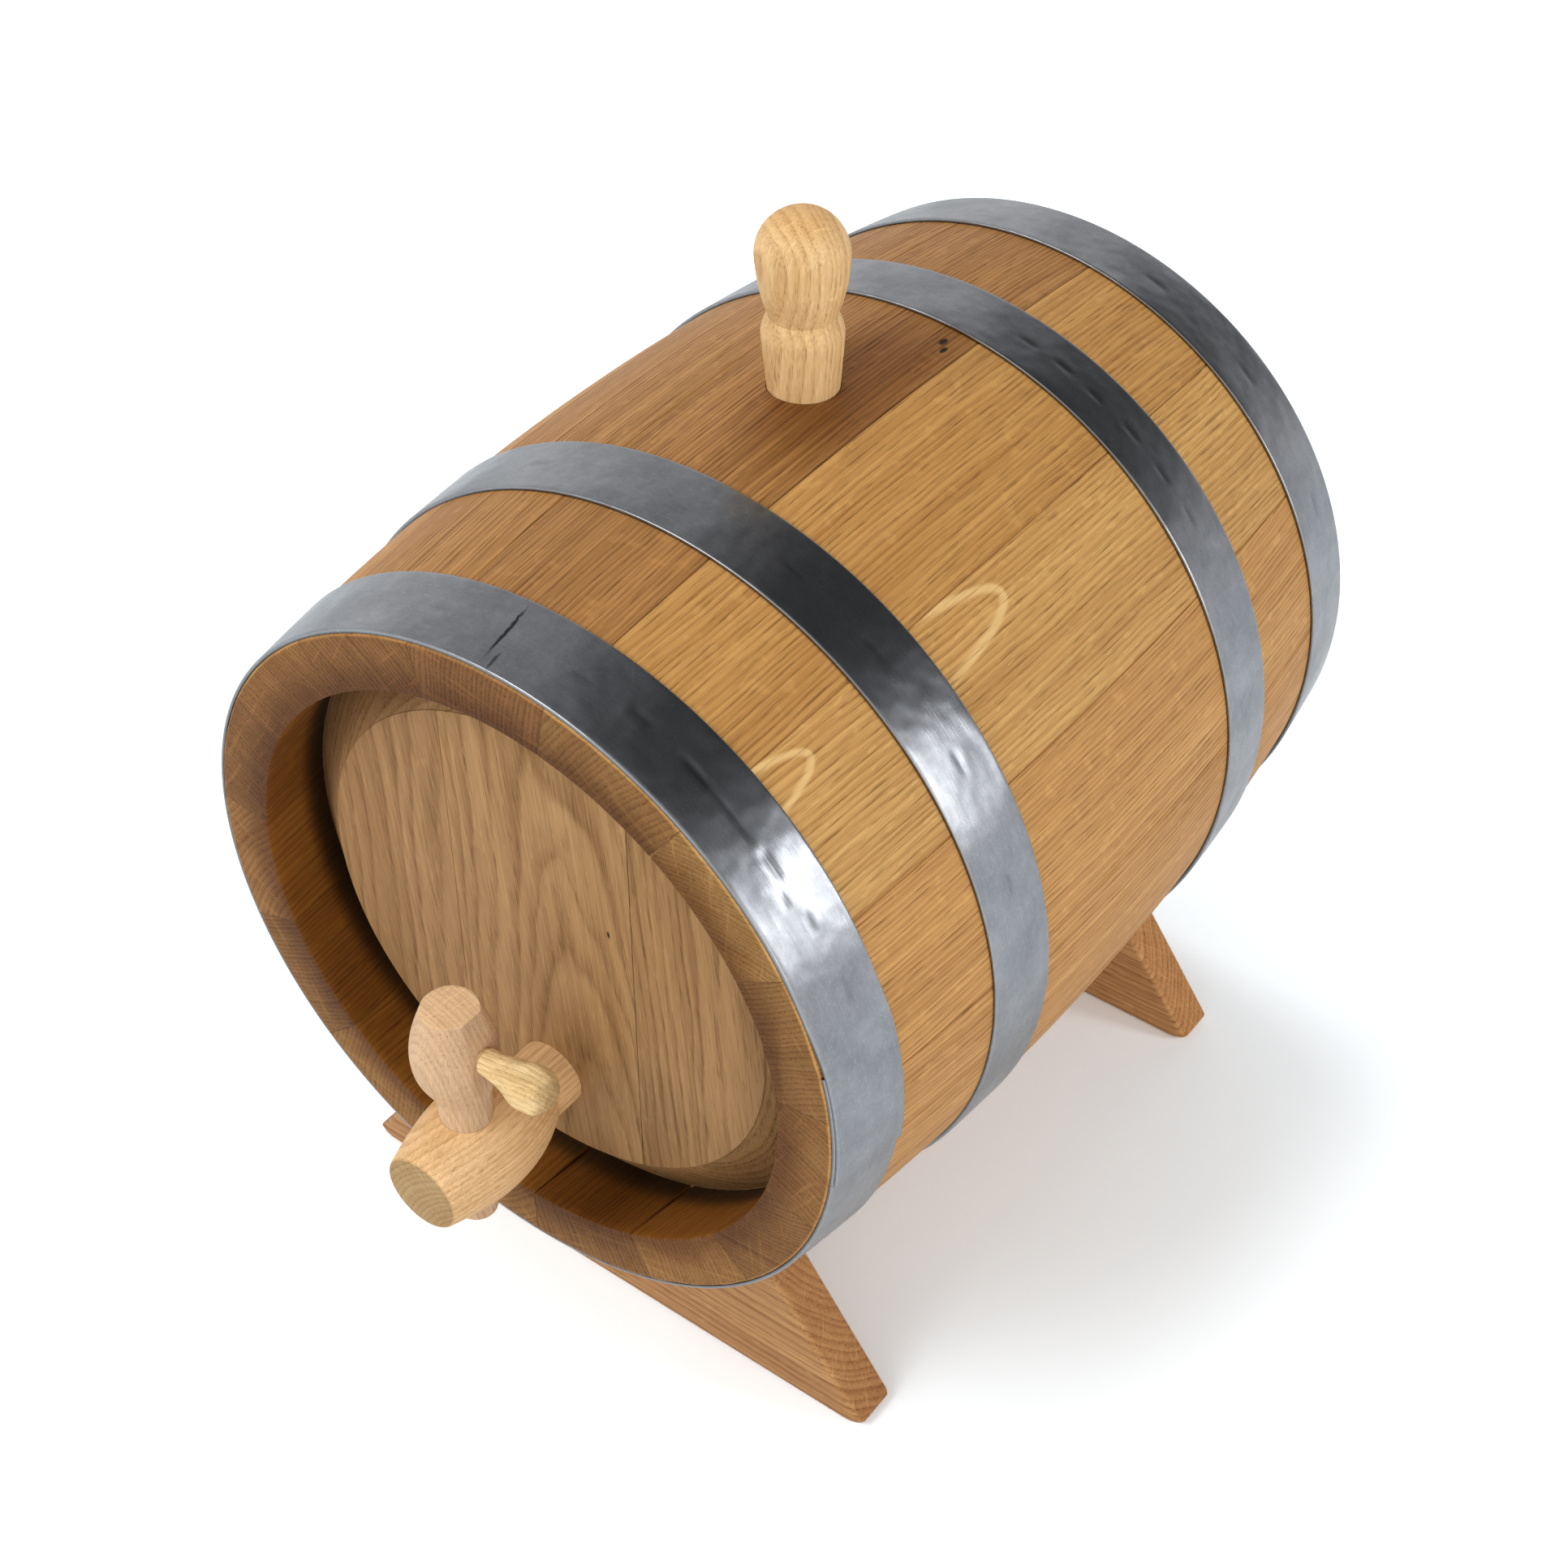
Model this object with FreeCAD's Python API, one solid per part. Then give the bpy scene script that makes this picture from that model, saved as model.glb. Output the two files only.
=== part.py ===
"""Oak cask with a wooden tap, resting in a two-plank cradle.

Millimetres. X runs across the cask, Y along it from the tap end to the rear end, Z up.
The origin is on the floor, at the bottom centre of the whole object's box.
"""
import FreeCAD, Part
import math
import os

from FreeCAD import Vector

# ---------------------------------------------------------------- driving dimensions
# cask shell
CASK_LENGTH = 320.0
END_DIAMETER = 250.4
BILGE_DIAMETER = 274.8
STAVE_COUNT = 15
STAVE_THICKNESS = 19.5
STAVE_TURN = -1.0               # degrees that the bung stave is turned off the top
AXIS_HEIGHT = 190.0             # cask axis above the floor

# heads and the grooves that hold them
HEAD_RECESS = 16.2              # stave ends to the head's outer face
HEAD_FACE_DIAMETER = 178.0      # flat of the head inside its bevel
CROZE_SETBACK = 31.0            # stave ends to the groove
CROZE_WIDTH = 6.0
CROZE_DEPTH = 4.0
CROZE_CLEARANCE = 0.1
HEAD_SEAMS = (-36.0, 38.0)      # X of the two joints between a head's three boards
HEAD_DOWEL_DIAMETER = 6.0
HEAD_DOWEL_LENGTH = 28.0
HEAD_DOWEL_HEIGHTS = (52.0, -22.0)
DOWEL_HOLE_SPARE = 0.5          # depth left beyond each end of a dowel

# hoops
HOOP_THICKNESS = 1.3
HOOP_SEAT_GAP = 0.05
CHIME_HOOP_WIDTH = 28.5
CHIME_HOOP_SETBACK = 0.5
QUARTER_HOOP_WIDTH = 27.5
QUARTER_HOOP_SETBACK = 74.3
HOOP_LAP_ANGLE = 20.0           # degrees over which a hoop's ends overlap
FRONT_CHIME_LAP = 75.0          # degrees from the top to the start of each hoop's lap
FRONT_QUARTER_LAP = 195.0
REAR_QUARTER_LAP = 145.0
REAR_CHIME_LAP = 190.0

# bung and bung hole
BUNG_TAPER = 0.072              # radius gained per mm of height
BUNG_RADIUS_AT_STAVE = 11.95
BUNG_SHOULDER_HEIGHT = 19.4     # above the bilge
BUNG_SHOULDER_DROP = 0.8        # radius lost halfway from the shoulder to the neck
BUNG_NECK_HEIGHT = 25.6
BUNG_NECK_RADIUS = 11.1
BUNG_BALL_RADIUS = 15.0
BUNG_BALL_HEIGHT = 46.4
BUNG_BALL_SWELL = 0.72          # share of the ball's extra radius reached halfway up to it
BUNG_INSIDE_LENGTH = 9.0        # below the inner face of the stave
BUNG_CLEARANCE = 0.3

# tap body
TAP_DROP = 59.0                 # tap axis below the cask axis
TAP_REACH = 65.4                # head's outer face to the nose
TAP_NECK_LENGTH = 11.2
TAP_NECK_RADIUS = 12.4
TAP_BELLY_RADIUS = 19.3
TAP_BELLY_LEAD = 1.0            # widest place of the belly, behind the key's axis
TAP_NOSE_RADIUS = 13.9
TAP_BACK_RUN = 6.0              # past the neck, where the belly has its back share of radius
TAP_BACK_SHARE = 0.42           # of the radius that the belly gains on the neck
TAP_FRONT_RUN = 13.0            # behind the nose, where the belly has its front share
TAP_FRONT_SHARE = 0.66          # of the radius that the belly gains on the nose
TAP_SHANK_TAPER = 0.07          # radius lost per mm of depth behind the head's face
TAP_SHANK_BEHIND_HEAD = 12.0
TAP_FIT = 0.05
TAP_BORE_RADIUS = 4.5
TAP_NOSE_ROUNDING = 1.2

# tap key
KEY_STANDOFF = 41.2             # head's outer face to the key's axis
KEY_RADIUS = 8.8                # at the top of the tap body
KEY_TAPER = 0.04
KEY_CLEARANCE = 0.08
KEY_BORE_RADIUS = 4.0
KEY_SPOUT_LENGTH = 10.0         # below the tap body
KEY_STEM_LENGTH = 9.5           # above the tap body
KEY_IN_HANDLE = 8.0             # plug carried on inside the handle
HANDLE_HEIGHT = 36.5            # stem to the flat top
HANDLE_RADIUS = 14.0
HANDLE_TOP_RADIUS = 9.5
HANDLE_WAIST_FROM_TOP = 15.6    # flat top down to the widest place
HANDLE_FLARE_HEIGHT = 0.28      # share of the way from the stem up to the widest place
HANDLE_FLARE = 0.62             # share of the extra radius that the handle has there
HANDLE_OFFSET = -1.9            # X of the handle's middle from the key's axis
HANDLE_PARING = 0.9             # share of the handle's radius left on the pared side
HANDLE_ROUNDING = 0.5

# whittled peg driven into the side of the key's handle, the lever that turns it
PEG_DROP_FROM_TOP = 15.6
PEG_RADIUS = 3.85
PEG_CLEARANCE = 0.08
PEG_DEPTH = 10.0
PEG_SHAFT_LENGTH = 5.5          # between the handle and the swelling
PEG_HEAD_RADIUS = 8.3
PEG_HEAD_LENGTH = 22.5
PEG_SWELL_AT = 0.42             # shares of the head's length, and of its radius there
PEG_SWELL = 0.86
PEG_CROWN_AT = 0.86
PEG_CROWN = 0.74
PEG_TIP = 0.2

# cradle
PLANK_SETBACK = 36.0            # stave ends to the plank's outer face
PLANK_THICKNESS = 18.5
PLANK_LENGTH = 228.0            # toe to toe on the floor
PLANK_WRAP = 17.4               # top of the planks above the cask's underside
PLANK_END_SLOPE = 33.5          # degrees from upright
PLANK_ARRIS = 2.5
TOE_ROUNDING = 7.0
SEAT_CLEARANCE = 0.3
SEAT_CUT_SPARE = 5.0            # the seat's cutter stands out of the plank's faces
RAIL_WIDTH = 28.0
RAIL_THICKNESS = 20.0
RAIL_SPACING = 76.0             # centre to centre
RAIL_DOWEL_DIAMETER = 8.0
RAIL_DOWEL_LENGTH = 30.0
RAIL_DOWEL_SPACING = 14.0
RAIL_DOWEL_IN_PLANK = 12.0

# ---------------------------------------------------------------- derived values
FRONT = -1
REAR = 1
tap_overhang = TAP_REACH - HEAD_RECESS
mid_y = tap_overhang / 2
stave_angle = 360.0 / STAVE_COUNT
bilge_radius = BILGE_DIAMETER / 2
bilge_sagitta = (BILGE_DIAMETER - END_DIAMETER) / 2
bend_radius = ((CASK_LENGTH / 2) ** 2 + bilge_sagitta ** 2) / (2 * bilge_sagitta)
bilge_top = AXIS_HEIGHT + bilge_radius
underside = AXIS_HEIGHT - bilge_radius
head_inner_depth = CROZE_SETBACK + CROZE_WIDTH - CROZE_CLEARANCE
head_thickness = head_inner_depth - HEAD_RECESS
axis_point = Vector(0, 0, AXIS_HEIGHT)
along = Vector(0, 1, 0)
up = Vector(0, 0, 1)
across = Vector(1, 0, 0)


def station(end, depth):
    """Y of a place the given depth in from the stave ends at the FRONT or REAR."""
    return mid_y + end * (CASK_LENGTH / 2 - depth)


head_face_y = station(FRONT, HEAD_RECESS)
tap_z = AXIS_HEIGHT - TAP_DROP
key_y = head_face_y - KEY_STANDOFF
key_foot = -TAP_BELLY_RADIUS - KEY_SPOUT_LENGTH     # these four from the tap's axis
key_stem_top = TAP_BELLY_RADIUS + KEY_STEM_LENGTH
handle_top = key_stem_top + HANDLE_HEIGHT
handle_waist = handle_top - HANDLE_WAIST_FROM_TOP
handle_side_x = HANDLE_OFFSET + HANDLE_PARING * HANDLE_RADIUS
plank_height = underside + PLANK_WRAP
rail_bottom = (underside - RAIL_THICKNESS) / 2      # rails halfway between floor and cask
BEND_SPANS = 6                  # spans of the smooth curve along a bent edge
EDGE_TOLERANCE = 0.01


# ---------------------------------------------------------------- helpers
def bent_radius(y, offset):
    """Radius of the bent cask surface at y, moved outwards by offset.

    Ends wider than the bilge give a negative bend, and so a waist.
    """
    bend = bend_radius + offset
    height = math.sqrt(bend ** 2 - (y - mid_y) ** 2)
    return bilge_radius - bend_radius + math.copysign(height, bend)


def on_bend(y, offset):
    return Vector(0, y, AXIS_HEIGHT + bent_radius(y, offset))


def line(start, end):
    return Part.LineSegment(start, end).toShape()


def face_of(edges):
    return Part.Face(Part.Wire(edges))


def polygon_face(points):
    return face_of([line(a, b) for a, b in zip(points, points[1:] + points[:1])])


def round_about_cask(face, start_angle, angle):
    turned = face.copy()
    turned.rotate(axis_point, along, start_angle)
    return turned.revolve(axis_point, along, angle)


def cylinder(radius, length, base, direction):
    return Part.makeCylinder(radius, length, base, direction)


def spline_edge(points):
    curve = Part.BSplineCurve()
    curve.interpolate(points)
    return curve.toShape()


def bend_edge(y_start, y_end, offset):
    step = (y_end - y_start) / BEND_SPANS
    return spline_edge([on_bend(y_start + step * index, offset) for index in range(BEND_SPANS + 1)])


# ---------------------------------------------------------------- cask shell
def stave_profile():
    """Lengthwise section of a stave: bent outside, bent inside, a croze near each end."""
    front, rear = station(FRONT, 0), station(REAR, 0)
    inside = -STAVE_THICKNESS
    floor = inside + CROZE_DEPTH
    grooves = [
        (station(FRONT, CROZE_SETBACK), station(FRONT, CROZE_SETBACK + CROZE_WIDTH)),
        (station(REAR, CROZE_SETBACK + CROZE_WIDTH), station(REAR, CROZE_SETBACK)),
    ]
    edges = [bend_edge(front, rear, 0), line(on_bend(rear, 0), on_bend(rear, inside))]
    y = rear
    for groove_start, groove_end in reversed(grooves):
        edges.append(bend_edge(y, groove_end, inside))
        edges.append(line(on_bend(groove_end, inside), on_bend(groove_end, floor)))
        edges.append(bend_edge(groove_end, groove_start, floor))
        edges.append(line(on_bend(groove_start, floor), on_bend(groove_start, inside)))
        y = groove_start
    edges.append(bend_edge(y, front, inside))
    edges.append(line(on_bend(front, inside), on_bend(front, 0)))
    return face_of(edges)


def bung_radius(height):
    """Radius of the tapered part of the bung, height measured from the bilge."""
    return BUNG_RADIUS_AT_STAVE + BUNG_TAPER * height


def bung_hole():
    depth = STAVE_THICKNESS + BUNG_INSIDE_LENGTH
    rise = BUNG_SHOULDER_HEIGHT
    hole = Part.makeCone(
        bung_radius(-depth) + BUNG_CLEARANCE,
        bung_radius(rise) + BUNG_CLEARANCE,
        depth + rise,
        Vector(0, mid_y, bilge_top - depth),
        up,
    )
    hole.rotate(axis_point, along, STAVE_TURN)
    return hole


def staves():
    profile = stave_profile()
    made = {}
    for index in range(STAVE_COUNT):
        start = STAVE_TURN + (index - 0.5) * stave_angle
        stave = round_about_cask(profile, start, stave_angle)
        if index == 0:
            stave = stave.cut(bung_hole())
        made["stave_%02d" % (index + 1)] = stave
    return made


def head_disc(end):
    """Whole head before it is split: flat face, bevelled edge, tongue in the croze."""
    groove_y = station(end, CROZE_SETBACK)
    wall_radius = bent_radius(groove_y, -STAVE_THICKNESS)
    tongue_radius = wall_radius + CROZE_DEPTH - CROZE_CLEARANCE
    outline = [
        (HEAD_RECESS, 0),
        (HEAD_RECESS, HEAD_FACE_DIAMETER / 2),
        (CROZE_SETBACK + CROZE_CLEARANCE, wall_radius - CROZE_CLEARANCE),
        (CROZE_SETBACK + CROZE_CLEARANCE, tongue_radius),
        (head_inner_depth, tongue_radius),
        (head_inner_depth, 0),
    ]
    points = [Vector(0, station(end, depth), AXIS_HEIGHT + radius) for depth, radius in outline]
    return polygon_face(points).revolve(axis_point, along, 360)


def head_dowels(end, spare):
    """Dowels across each seam of a head; spare lengthens and widens them into their holes."""
    y = station(end, (HEAD_RECESS + head_inner_depth) / 2)
    half = HEAD_DOWEL_LENGTH / 2 + spare
    dowels = []
    for seam in HEAD_SEAMS:
        for height in HEAD_DOWEL_HEIGHTS:
            base = Vector(seam - half, y, AXIS_HEIGHT + height)
            dowels.append(cylinder(HEAD_DOWEL_DIAMETER / 2, 2 * half, base, across))
    return dowels


def tap_shank_radius(depth):
    """Radius of the tap's shank, depth measured behind the head's outer face."""
    return TAP_NECK_RADIUS - TAP_SHANK_TAPER * depth


def tap_hole():
    return Part.makeCone(
        tap_shank_radius(0) + TAP_FIT,
        tap_shank_radius(head_thickness) + TAP_FIT,
        head_thickness,
        Vector(0, head_face_y, tap_z),
        along,
    )


def head_boards(end, name):
    disc = head_disc(end)
    if end == FRONT:
        disc = disc.cut(tap_hole())
    for hole in head_dowels(end, DOWEL_HOLE_SPARE):
        disc = disc.cut(hole)
    limits = (-END_DIAMETER / 2,) + HEAD_SEAMS + (END_DIAMETER / 2,)
    made = {}
    for side, low, high in zip(("left", "middle", "right"), limits, limits[1:]):
        corner = Vector(low, mid_y - CASK_LENGTH / 2, AXIS_HEIGHT - END_DIAMETER / 2)
        slab = Part.makeBox(high - low, CASK_LENGTH, END_DIAMETER, corner)
        made["%s_head_board_%s" % (name, side)] = disc.common(slab)
    made["%s_head_dowels" % name] = Part.makeCompound(head_dowels(end, 0))
    return made


def hoop(end, setback, width, lap_start):
    """Flat steel strip bent round the staves, with its two ends lapped."""
    near, far = sorted((station(end, setback), station(end, setback + width)))

    def strip(inner, outer, start, angle):
        section = face_of([
            bend_edge(near, far, inner),
            line(on_bend(far, inner), on_bend(far, outer)),
            bend_edge(far, near, outer),
            line(on_bend(near, outer), on_bend(near, inner)),
        ])
        return round_about_cask(section, start, angle)

    seat = HOOP_SEAT_GAP
    ring = strip(seat, seat + HOOP_THICKNESS, lap_start, 360)
    lap = strip(seat + HOOP_THICKNESS, seat + 2 * HOOP_THICKNESS, lap_start, HOOP_LAP_ANGLE)
    return ring.fuse(lap).removeSplitter()


def hoops():
    chime = (CHIME_HOOP_SETBACK, CHIME_HOOP_WIDTH)
    quarter = (QUARTER_HOOP_SETBACK, QUARTER_HOOP_WIDTH)
    return {
        "front_chime_hoop": hoop(FRONT, *chime, FRONT_CHIME_LAP),
        "front_quarter_hoop": hoop(FRONT, *quarter, FRONT_QUARTER_LAP),
        "rear_quarter_hoop": hoop(REAR, *quarter, REAR_QUARTER_LAP),
        "rear_chime_hoop": hoop(REAR, *chime, REAR_CHIME_LAP),
    }


# ---------------------------------------------------------------- bung and tap
def bung():
    """Tapered plug with a turned neck and ball, standing square to its stave."""
    def at(radius, height):
        return Vector(radius, mid_y, bilge_top + height)

    foot = -STAVE_THICKNESS - BUNG_INSIDE_LENGTH
    shoulder = bung_radius(BUNG_SHOULDER_HEIGHT)
    neck_middle = (BUNG_SHOULDER_HEIGHT + BUNG_NECK_HEIGHT) / 2
    under_ball = (BUNG_NECK_HEIGHT + BUNG_BALL_HEIGHT) / 2
    swell = BUNG_NECK_RADIUS + BUNG_BALL_SWELL * (BUNG_BALL_RADIUS - BUNG_NECK_RADIUS)
    quarter = BUNG_BALL_RADIUS * math.sqrt(0.5)
    edges = [
        line(at(0, foot), at(bung_radius(foot), foot)),
        line(at(bung_radius(foot), foot), at(shoulder, BUNG_SHOULDER_HEIGHT)),
        Part.Arc(
            at(shoulder, BUNG_SHOULDER_HEIGHT),
            at(shoulder - BUNG_SHOULDER_DROP, neck_middle),
            at(BUNG_NECK_RADIUS, BUNG_NECK_HEIGHT),
        ).toShape(),
        Part.Arc(
            at(BUNG_NECK_RADIUS, BUNG_NECK_HEIGHT),
            at(swell, under_ball),
            at(BUNG_BALL_RADIUS, BUNG_BALL_HEIGHT),
        ).toShape(),
        Part.Arc(
            at(BUNG_BALL_RADIUS, BUNG_BALL_HEIGHT),
            at(quarter, BUNG_BALL_HEIGHT + quarter),
            at(0, BUNG_BALL_HEIGHT + BUNG_BALL_RADIUS),
        ).toShape(),
        line(at(0, BUNG_BALL_HEIGHT + BUNG_BALL_RADIUS), at(0, foot)),
    ]
    plug = face_of(edges).revolve(Vector(0, mid_y, 0), up, 360)
    plug.rotate(axis_point, along, STAVE_TURN)
    return plug


def key_radius(height):
    """Radius of the key's tapered plug, height measured from the tap's axis."""
    return KEY_RADIUS - KEY_TAPER * (TAP_BELLY_RADIUS - height)


def key_hole():
    low = -TAP_BELLY_RADIUS - TAP_NOSE_ROUNDING
    high = TAP_BELLY_RADIUS + TAP_NOSE_ROUNDING
    return Part.makeCone(
        key_radius(low) + KEY_CLEARANCE,
        key_radius(high) + KEY_CLEARANCE,
        high - low,
        Vector(0, key_y, tap_z + low),
        up,
    )


def tap_body():
    """Turned body: shank through the head, neck, belly bored for the key, and nose."""
    def at(reach, radius):
        return Vector(0, head_face_y - reach, tap_z + radius)

    tail = -head_thickness - TAP_SHANK_BEHIND_HEAD
    back_radius = TAP_NECK_RADIUS + TAP_BACK_SHARE * (TAP_BELLY_RADIUS - TAP_NECK_RADIUS)
    front_radius = TAP_NOSE_RADIUS + TAP_FRONT_SHARE * (TAP_BELLY_RADIUS - TAP_NOSE_RADIUS)
    belly = [
        at(TAP_NECK_LENGTH, TAP_NECK_RADIUS),
        at(TAP_NECK_LENGTH + TAP_BACK_RUN, back_radius),
        at(KEY_STANDOFF - TAP_BELLY_LEAD, TAP_BELLY_RADIUS),
        at(TAP_REACH - TAP_FRONT_RUN, front_radius),
        at(TAP_REACH, TAP_NOSE_RADIUS),
    ]
    edges = [
        line(at(tail, 0), at(tail, tap_shank_radius(-tail))),
        line(at(tail, tap_shank_radius(-tail)), at(0, TAP_NECK_RADIUS)),
        line(at(0, TAP_NECK_RADIUS), belly[0]),
        spline_edge(belly),
        line(belly[-1], at(TAP_REACH, 0)),
        line(at(TAP_REACH, 0), at(tail, 0)),
    ]
    body = face_of(edges).revolve(Vector(0, 0, tap_z), along, 360)
    nose_y = head_face_y - TAP_REACH
    nose_rim = [e for e in body.Edges if e.BoundBox.YMax < nose_y + EDGE_TOLERANCE]
    body = body.makeFillet(TAP_NOSE_ROUNDING, nose_rim)
    bore = cylinder(TAP_BORE_RADIUS, KEY_STANDOFF - tail, Vector(0, key_y, tap_z), along)
    return body.cut(bore).cut(key_hole())


def key_handle():
    """Egg-shaped handle with a flat top, pared along one side."""
    low_radius = key_radius(key_stem_top)
    flare_radius = low_radius + HANDLE_FLARE * (HANDLE_RADIUS - low_radius)
    flare_height = key_stem_top + HANDLE_FLARE_HEIGHT * (handle_waist - key_stem_top)
    profile = [
        (low_radius, key_stem_top),
        (flare_radius, flare_height),
        (HANDLE_RADIUS, handle_waist),
        (HANDLE_TOP_RADIUS, handle_top),
    ]

    def outline(share, far_radius):
        points = [
            Vector(HANDLE_OFFSET + share * radius, key_y, tap_z + height)
            for radius, height in profile
        ]
        far_top = Vector(HANDLE_OFFSET + far_radius, key_y, tap_z + handle_top)
        far_low = Vector(HANDLE_OFFSET + far_radius, key_y, tap_z + key_stem_top)
        return face_of([
            spline_edge(points),
            line(points[-1], far_top),
            line(far_top, far_low),
            line(far_low, points[0]),
        ])

    egg = outline(1, 0).revolve(Vector(HANDLE_OFFSET, key_y, 0), up, 360)
    room = 2 * HANDLE_RADIUS
    pared = outline(HANDLE_PARING, -room)
    pared.translate(along * -room)
    return egg.common(pared.extrude(along * (2 * room)))


def tap_key():
    """Tapered plug with its handle; bored from below, with a port on the side away from the peg."""
    def at(radius, height):
        return Vector(radius, key_y, tap_z + height)

    plug_top = key_stem_top + KEY_IN_HANDLE
    plug = Part.makeCone(
        key_radius(key_foot),
        key_radius(plug_top),
        plug_top - key_foot,
        at(0, key_foot),
        up,
    )
    key = key_handle().fuse(plug)
    rim = [e for e in key.Edges if e.BoundBox.ZMin > tap_z + handle_top - EDGE_TOLERANCE]
    key = key.makeFillet(HANDLE_ROUNDING, rim)
    bore = cylinder(KEY_BORE_RADIUS, KEY_BORE_RADIUS - key_foot, at(0, key_foot), up)
    port = cylinder(KEY_BORE_RADIUS, 2 * KEY_RADIUS, at(0, 0), -across)
    peg_hole = cylinder(
        PEG_RADIUS + PEG_CLEARANCE,
        HANDLE_RADIUS,
        at(handle_side_x - PEG_DEPTH - DOWEL_HOLE_SPARE, handle_top - PEG_DROP_FROM_TOP),
        across,
    )
    return key.cut(bore).cut(port).cut(peg_hole)


def key_peg():
    """Whittled pin with a swollen head, driven into the handle's pared side as its lever."""
    height = tap_z + handle_top - PEG_DROP_FROM_TOP

    def at(reach, radius):
        return Vector(handle_side_x + reach, key_y, height + radius)

    swell = PEG_SHAFT_LENGTH + PEG_SWELL_AT * PEG_HEAD_LENGTH
    crown = PEG_SHAFT_LENGTH + PEG_CROWN_AT * PEG_HEAD_LENGTH
    tip = PEG_SHAFT_LENGTH + PEG_HEAD_LENGTH
    tip_radius = PEG_TIP * PEG_HEAD_RADIUS
    edges = [
        line(at(-PEG_DEPTH, 0), at(-PEG_DEPTH, PEG_RADIUS)),
        line(at(-PEG_DEPTH, PEG_RADIUS), at(PEG_SHAFT_LENGTH, PEG_RADIUS)),
        spline_edge([
            at(PEG_SHAFT_LENGTH, PEG_RADIUS),
            at(swell, PEG_SWELL * PEG_HEAD_RADIUS),
            at((swell + crown) / 2, PEG_HEAD_RADIUS),
            at(crown, PEG_CROWN * PEG_HEAD_RADIUS),
            at(tip, tip_radius),
        ]),
        line(at(tip, tip_radius), at(tip, 0)),
        line(at(tip, 0), at(-PEG_DEPTH, 0)),
    ]
    return face_of(edges).revolve(Vector(0, key_y, height), across, 360)


# ---------------------------------------------------------------- cradle
def cask_seat_cutter(end):
    """The cask's outer surface round one plank as a solid, larger by the seat clearance."""
    outer = station(end, PLANK_SETBACK - SEAT_CUT_SPARE)
    inner = station(end, PLANK_SETBACK + PLANK_THICKNESS + SEAT_CUT_SPARE)
    edges = [
        bend_edge(outer, inner, SEAT_CLEARANCE),
        line(on_bend(inner, SEAT_CLEARANCE), Vector(0, inner, AXIS_HEIGHT)),
        line(Vector(0, inner, AXIS_HEIGHT), Vector(0, outer, AXIS_HEIGHT)),
        line(Vector(0, outer, AXIS_HEIGHT), on_bend(outer, SEAT_CLEARANCE)),
    ]
    return face_of(edges).revolve(axis_point, along, 360)


def rail_dowels(end, spare):
    """Dowels that join both rails to one plank, spare lengthening them into their holes."""
    joint_y = station(end, PLANK_SETBACK + PLANK_THICKNESS)
    start = joint_y + end * (RAIL_DOWEL_IN_PLANK + spare)
    z = rail_bottom + RAIL_THICKNESS / 2
    length = RAIL_DOWEL_LENGTH + 2 * spare
    dowels = []
    for side in (-1, 1):
        for shift in (-0.5, 0.5):
            x = side * RAIL_SPACING / 2 + shift * RAIL_DOWEL_SPACING
            base = Vector(x, start, z)
            dowels.append(cylinder(RAIL_DOWEL_DIAMETER / 2, length, base, along * -end))
    return dowels


def plank(end):
    """Trapezoid plank on edge, its top hollowed to the cask and its ends splayed."""
    spread = plank_height * math.tan(math.radians(PLANK_END_SLOPE))
    half_floor = PLANK_LENGTH / 2
    half_top = half_floor - spread
    outer_y = station(end, PLANK_SETBACK)
    points = [
        Vector(-half_floor, outer_y, 0),
        Vector(half_floor, outer_y, 0),
        Vector(half_top, outer_y, plank_height),
        Vector(-half_top, outer_y, plank_height),
    ]
    body = polygon_face(points).extrude(along * (-end * PLANK_THICKNESS))
    toes = [
        e for e in body.Edges
        if e.BoundBox.ZMax < EDGE_TOLERANCE and e.BoundBox.XLength < EDGE_TOLERANCE
    ]
    body = body.makeFillet(TOE_ROUNDING, toes)
    outline = [
        e for e in body.Edges
        if e.BoundBox.YLength < EDGE_TOLERANCE and e.BoundBox.ZMin < plank_height / 2
    ]
    body = body.makeFillet(PLANK_ARRIS, outline)
    body = body.cut(cask_seat_cutter(end))
    for hole in rail_dowels(end, DOWEL_HOLE_SPARE):
        body = body.cut(hole)
    return body


def rail(side):
    front = station(FRONT, PLANK_SETBACK + PLANK_THICKNESS)
    rear = station(REAR, PLANK_SETBACK + PLANK_THICKNESS)
    corner = Vector(side * RAIL_SPACING / 2 - RAIL_WIDTH / 2, front, rail_bottom)
    body = Part.makeBox(RAIL_WIDTH, rear - front, RAIL_THICKNESS, corner)
    for end in (FRONT, REAR):
        for hole in rail_dowels(end, DOWEL_HOLE_SPARE):
            body = body.cut(hole)
    return body


def cradle():
    dowels = rail_dowels(FRONT, 0) + rail_dowels(REAR, 0)
    return {
        "front_plank": plank(FRONT),
        "rear_plank": plank(REAR),
        "left_rail": rail(-1),
        "right_rail": rail(1),
        "rail_dowels": Part.makeCompound(dowels),
    }


# ---------------------------------------------------------------- all pieces
def all_nodes():
    nodes = {}
    nodes.update(staves())
    nodes.update(head_boards(FRONT, "front"))
    nodes.update(head_boards(REAR, "rear"))
    nodes.update(hoops())
    nodes["bung"] = bung()
    nodes["tap_body"] = tap_body()
    nodes["tap_key"] = tap_key()
    nodes["key_peg"] = key_peg()
    nodes.update(cradle())
    return nodes


os.makedirs("parts", exist_ok=True)
for node_name, shape in all_nodes().items():
    shape.exportStep("parts/%s.step" % node_name)
    print("%-28s solids %d  volume %.1f cm3" % (node_name, len(shape.Solids), shape.Volume / 1000))
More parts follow.
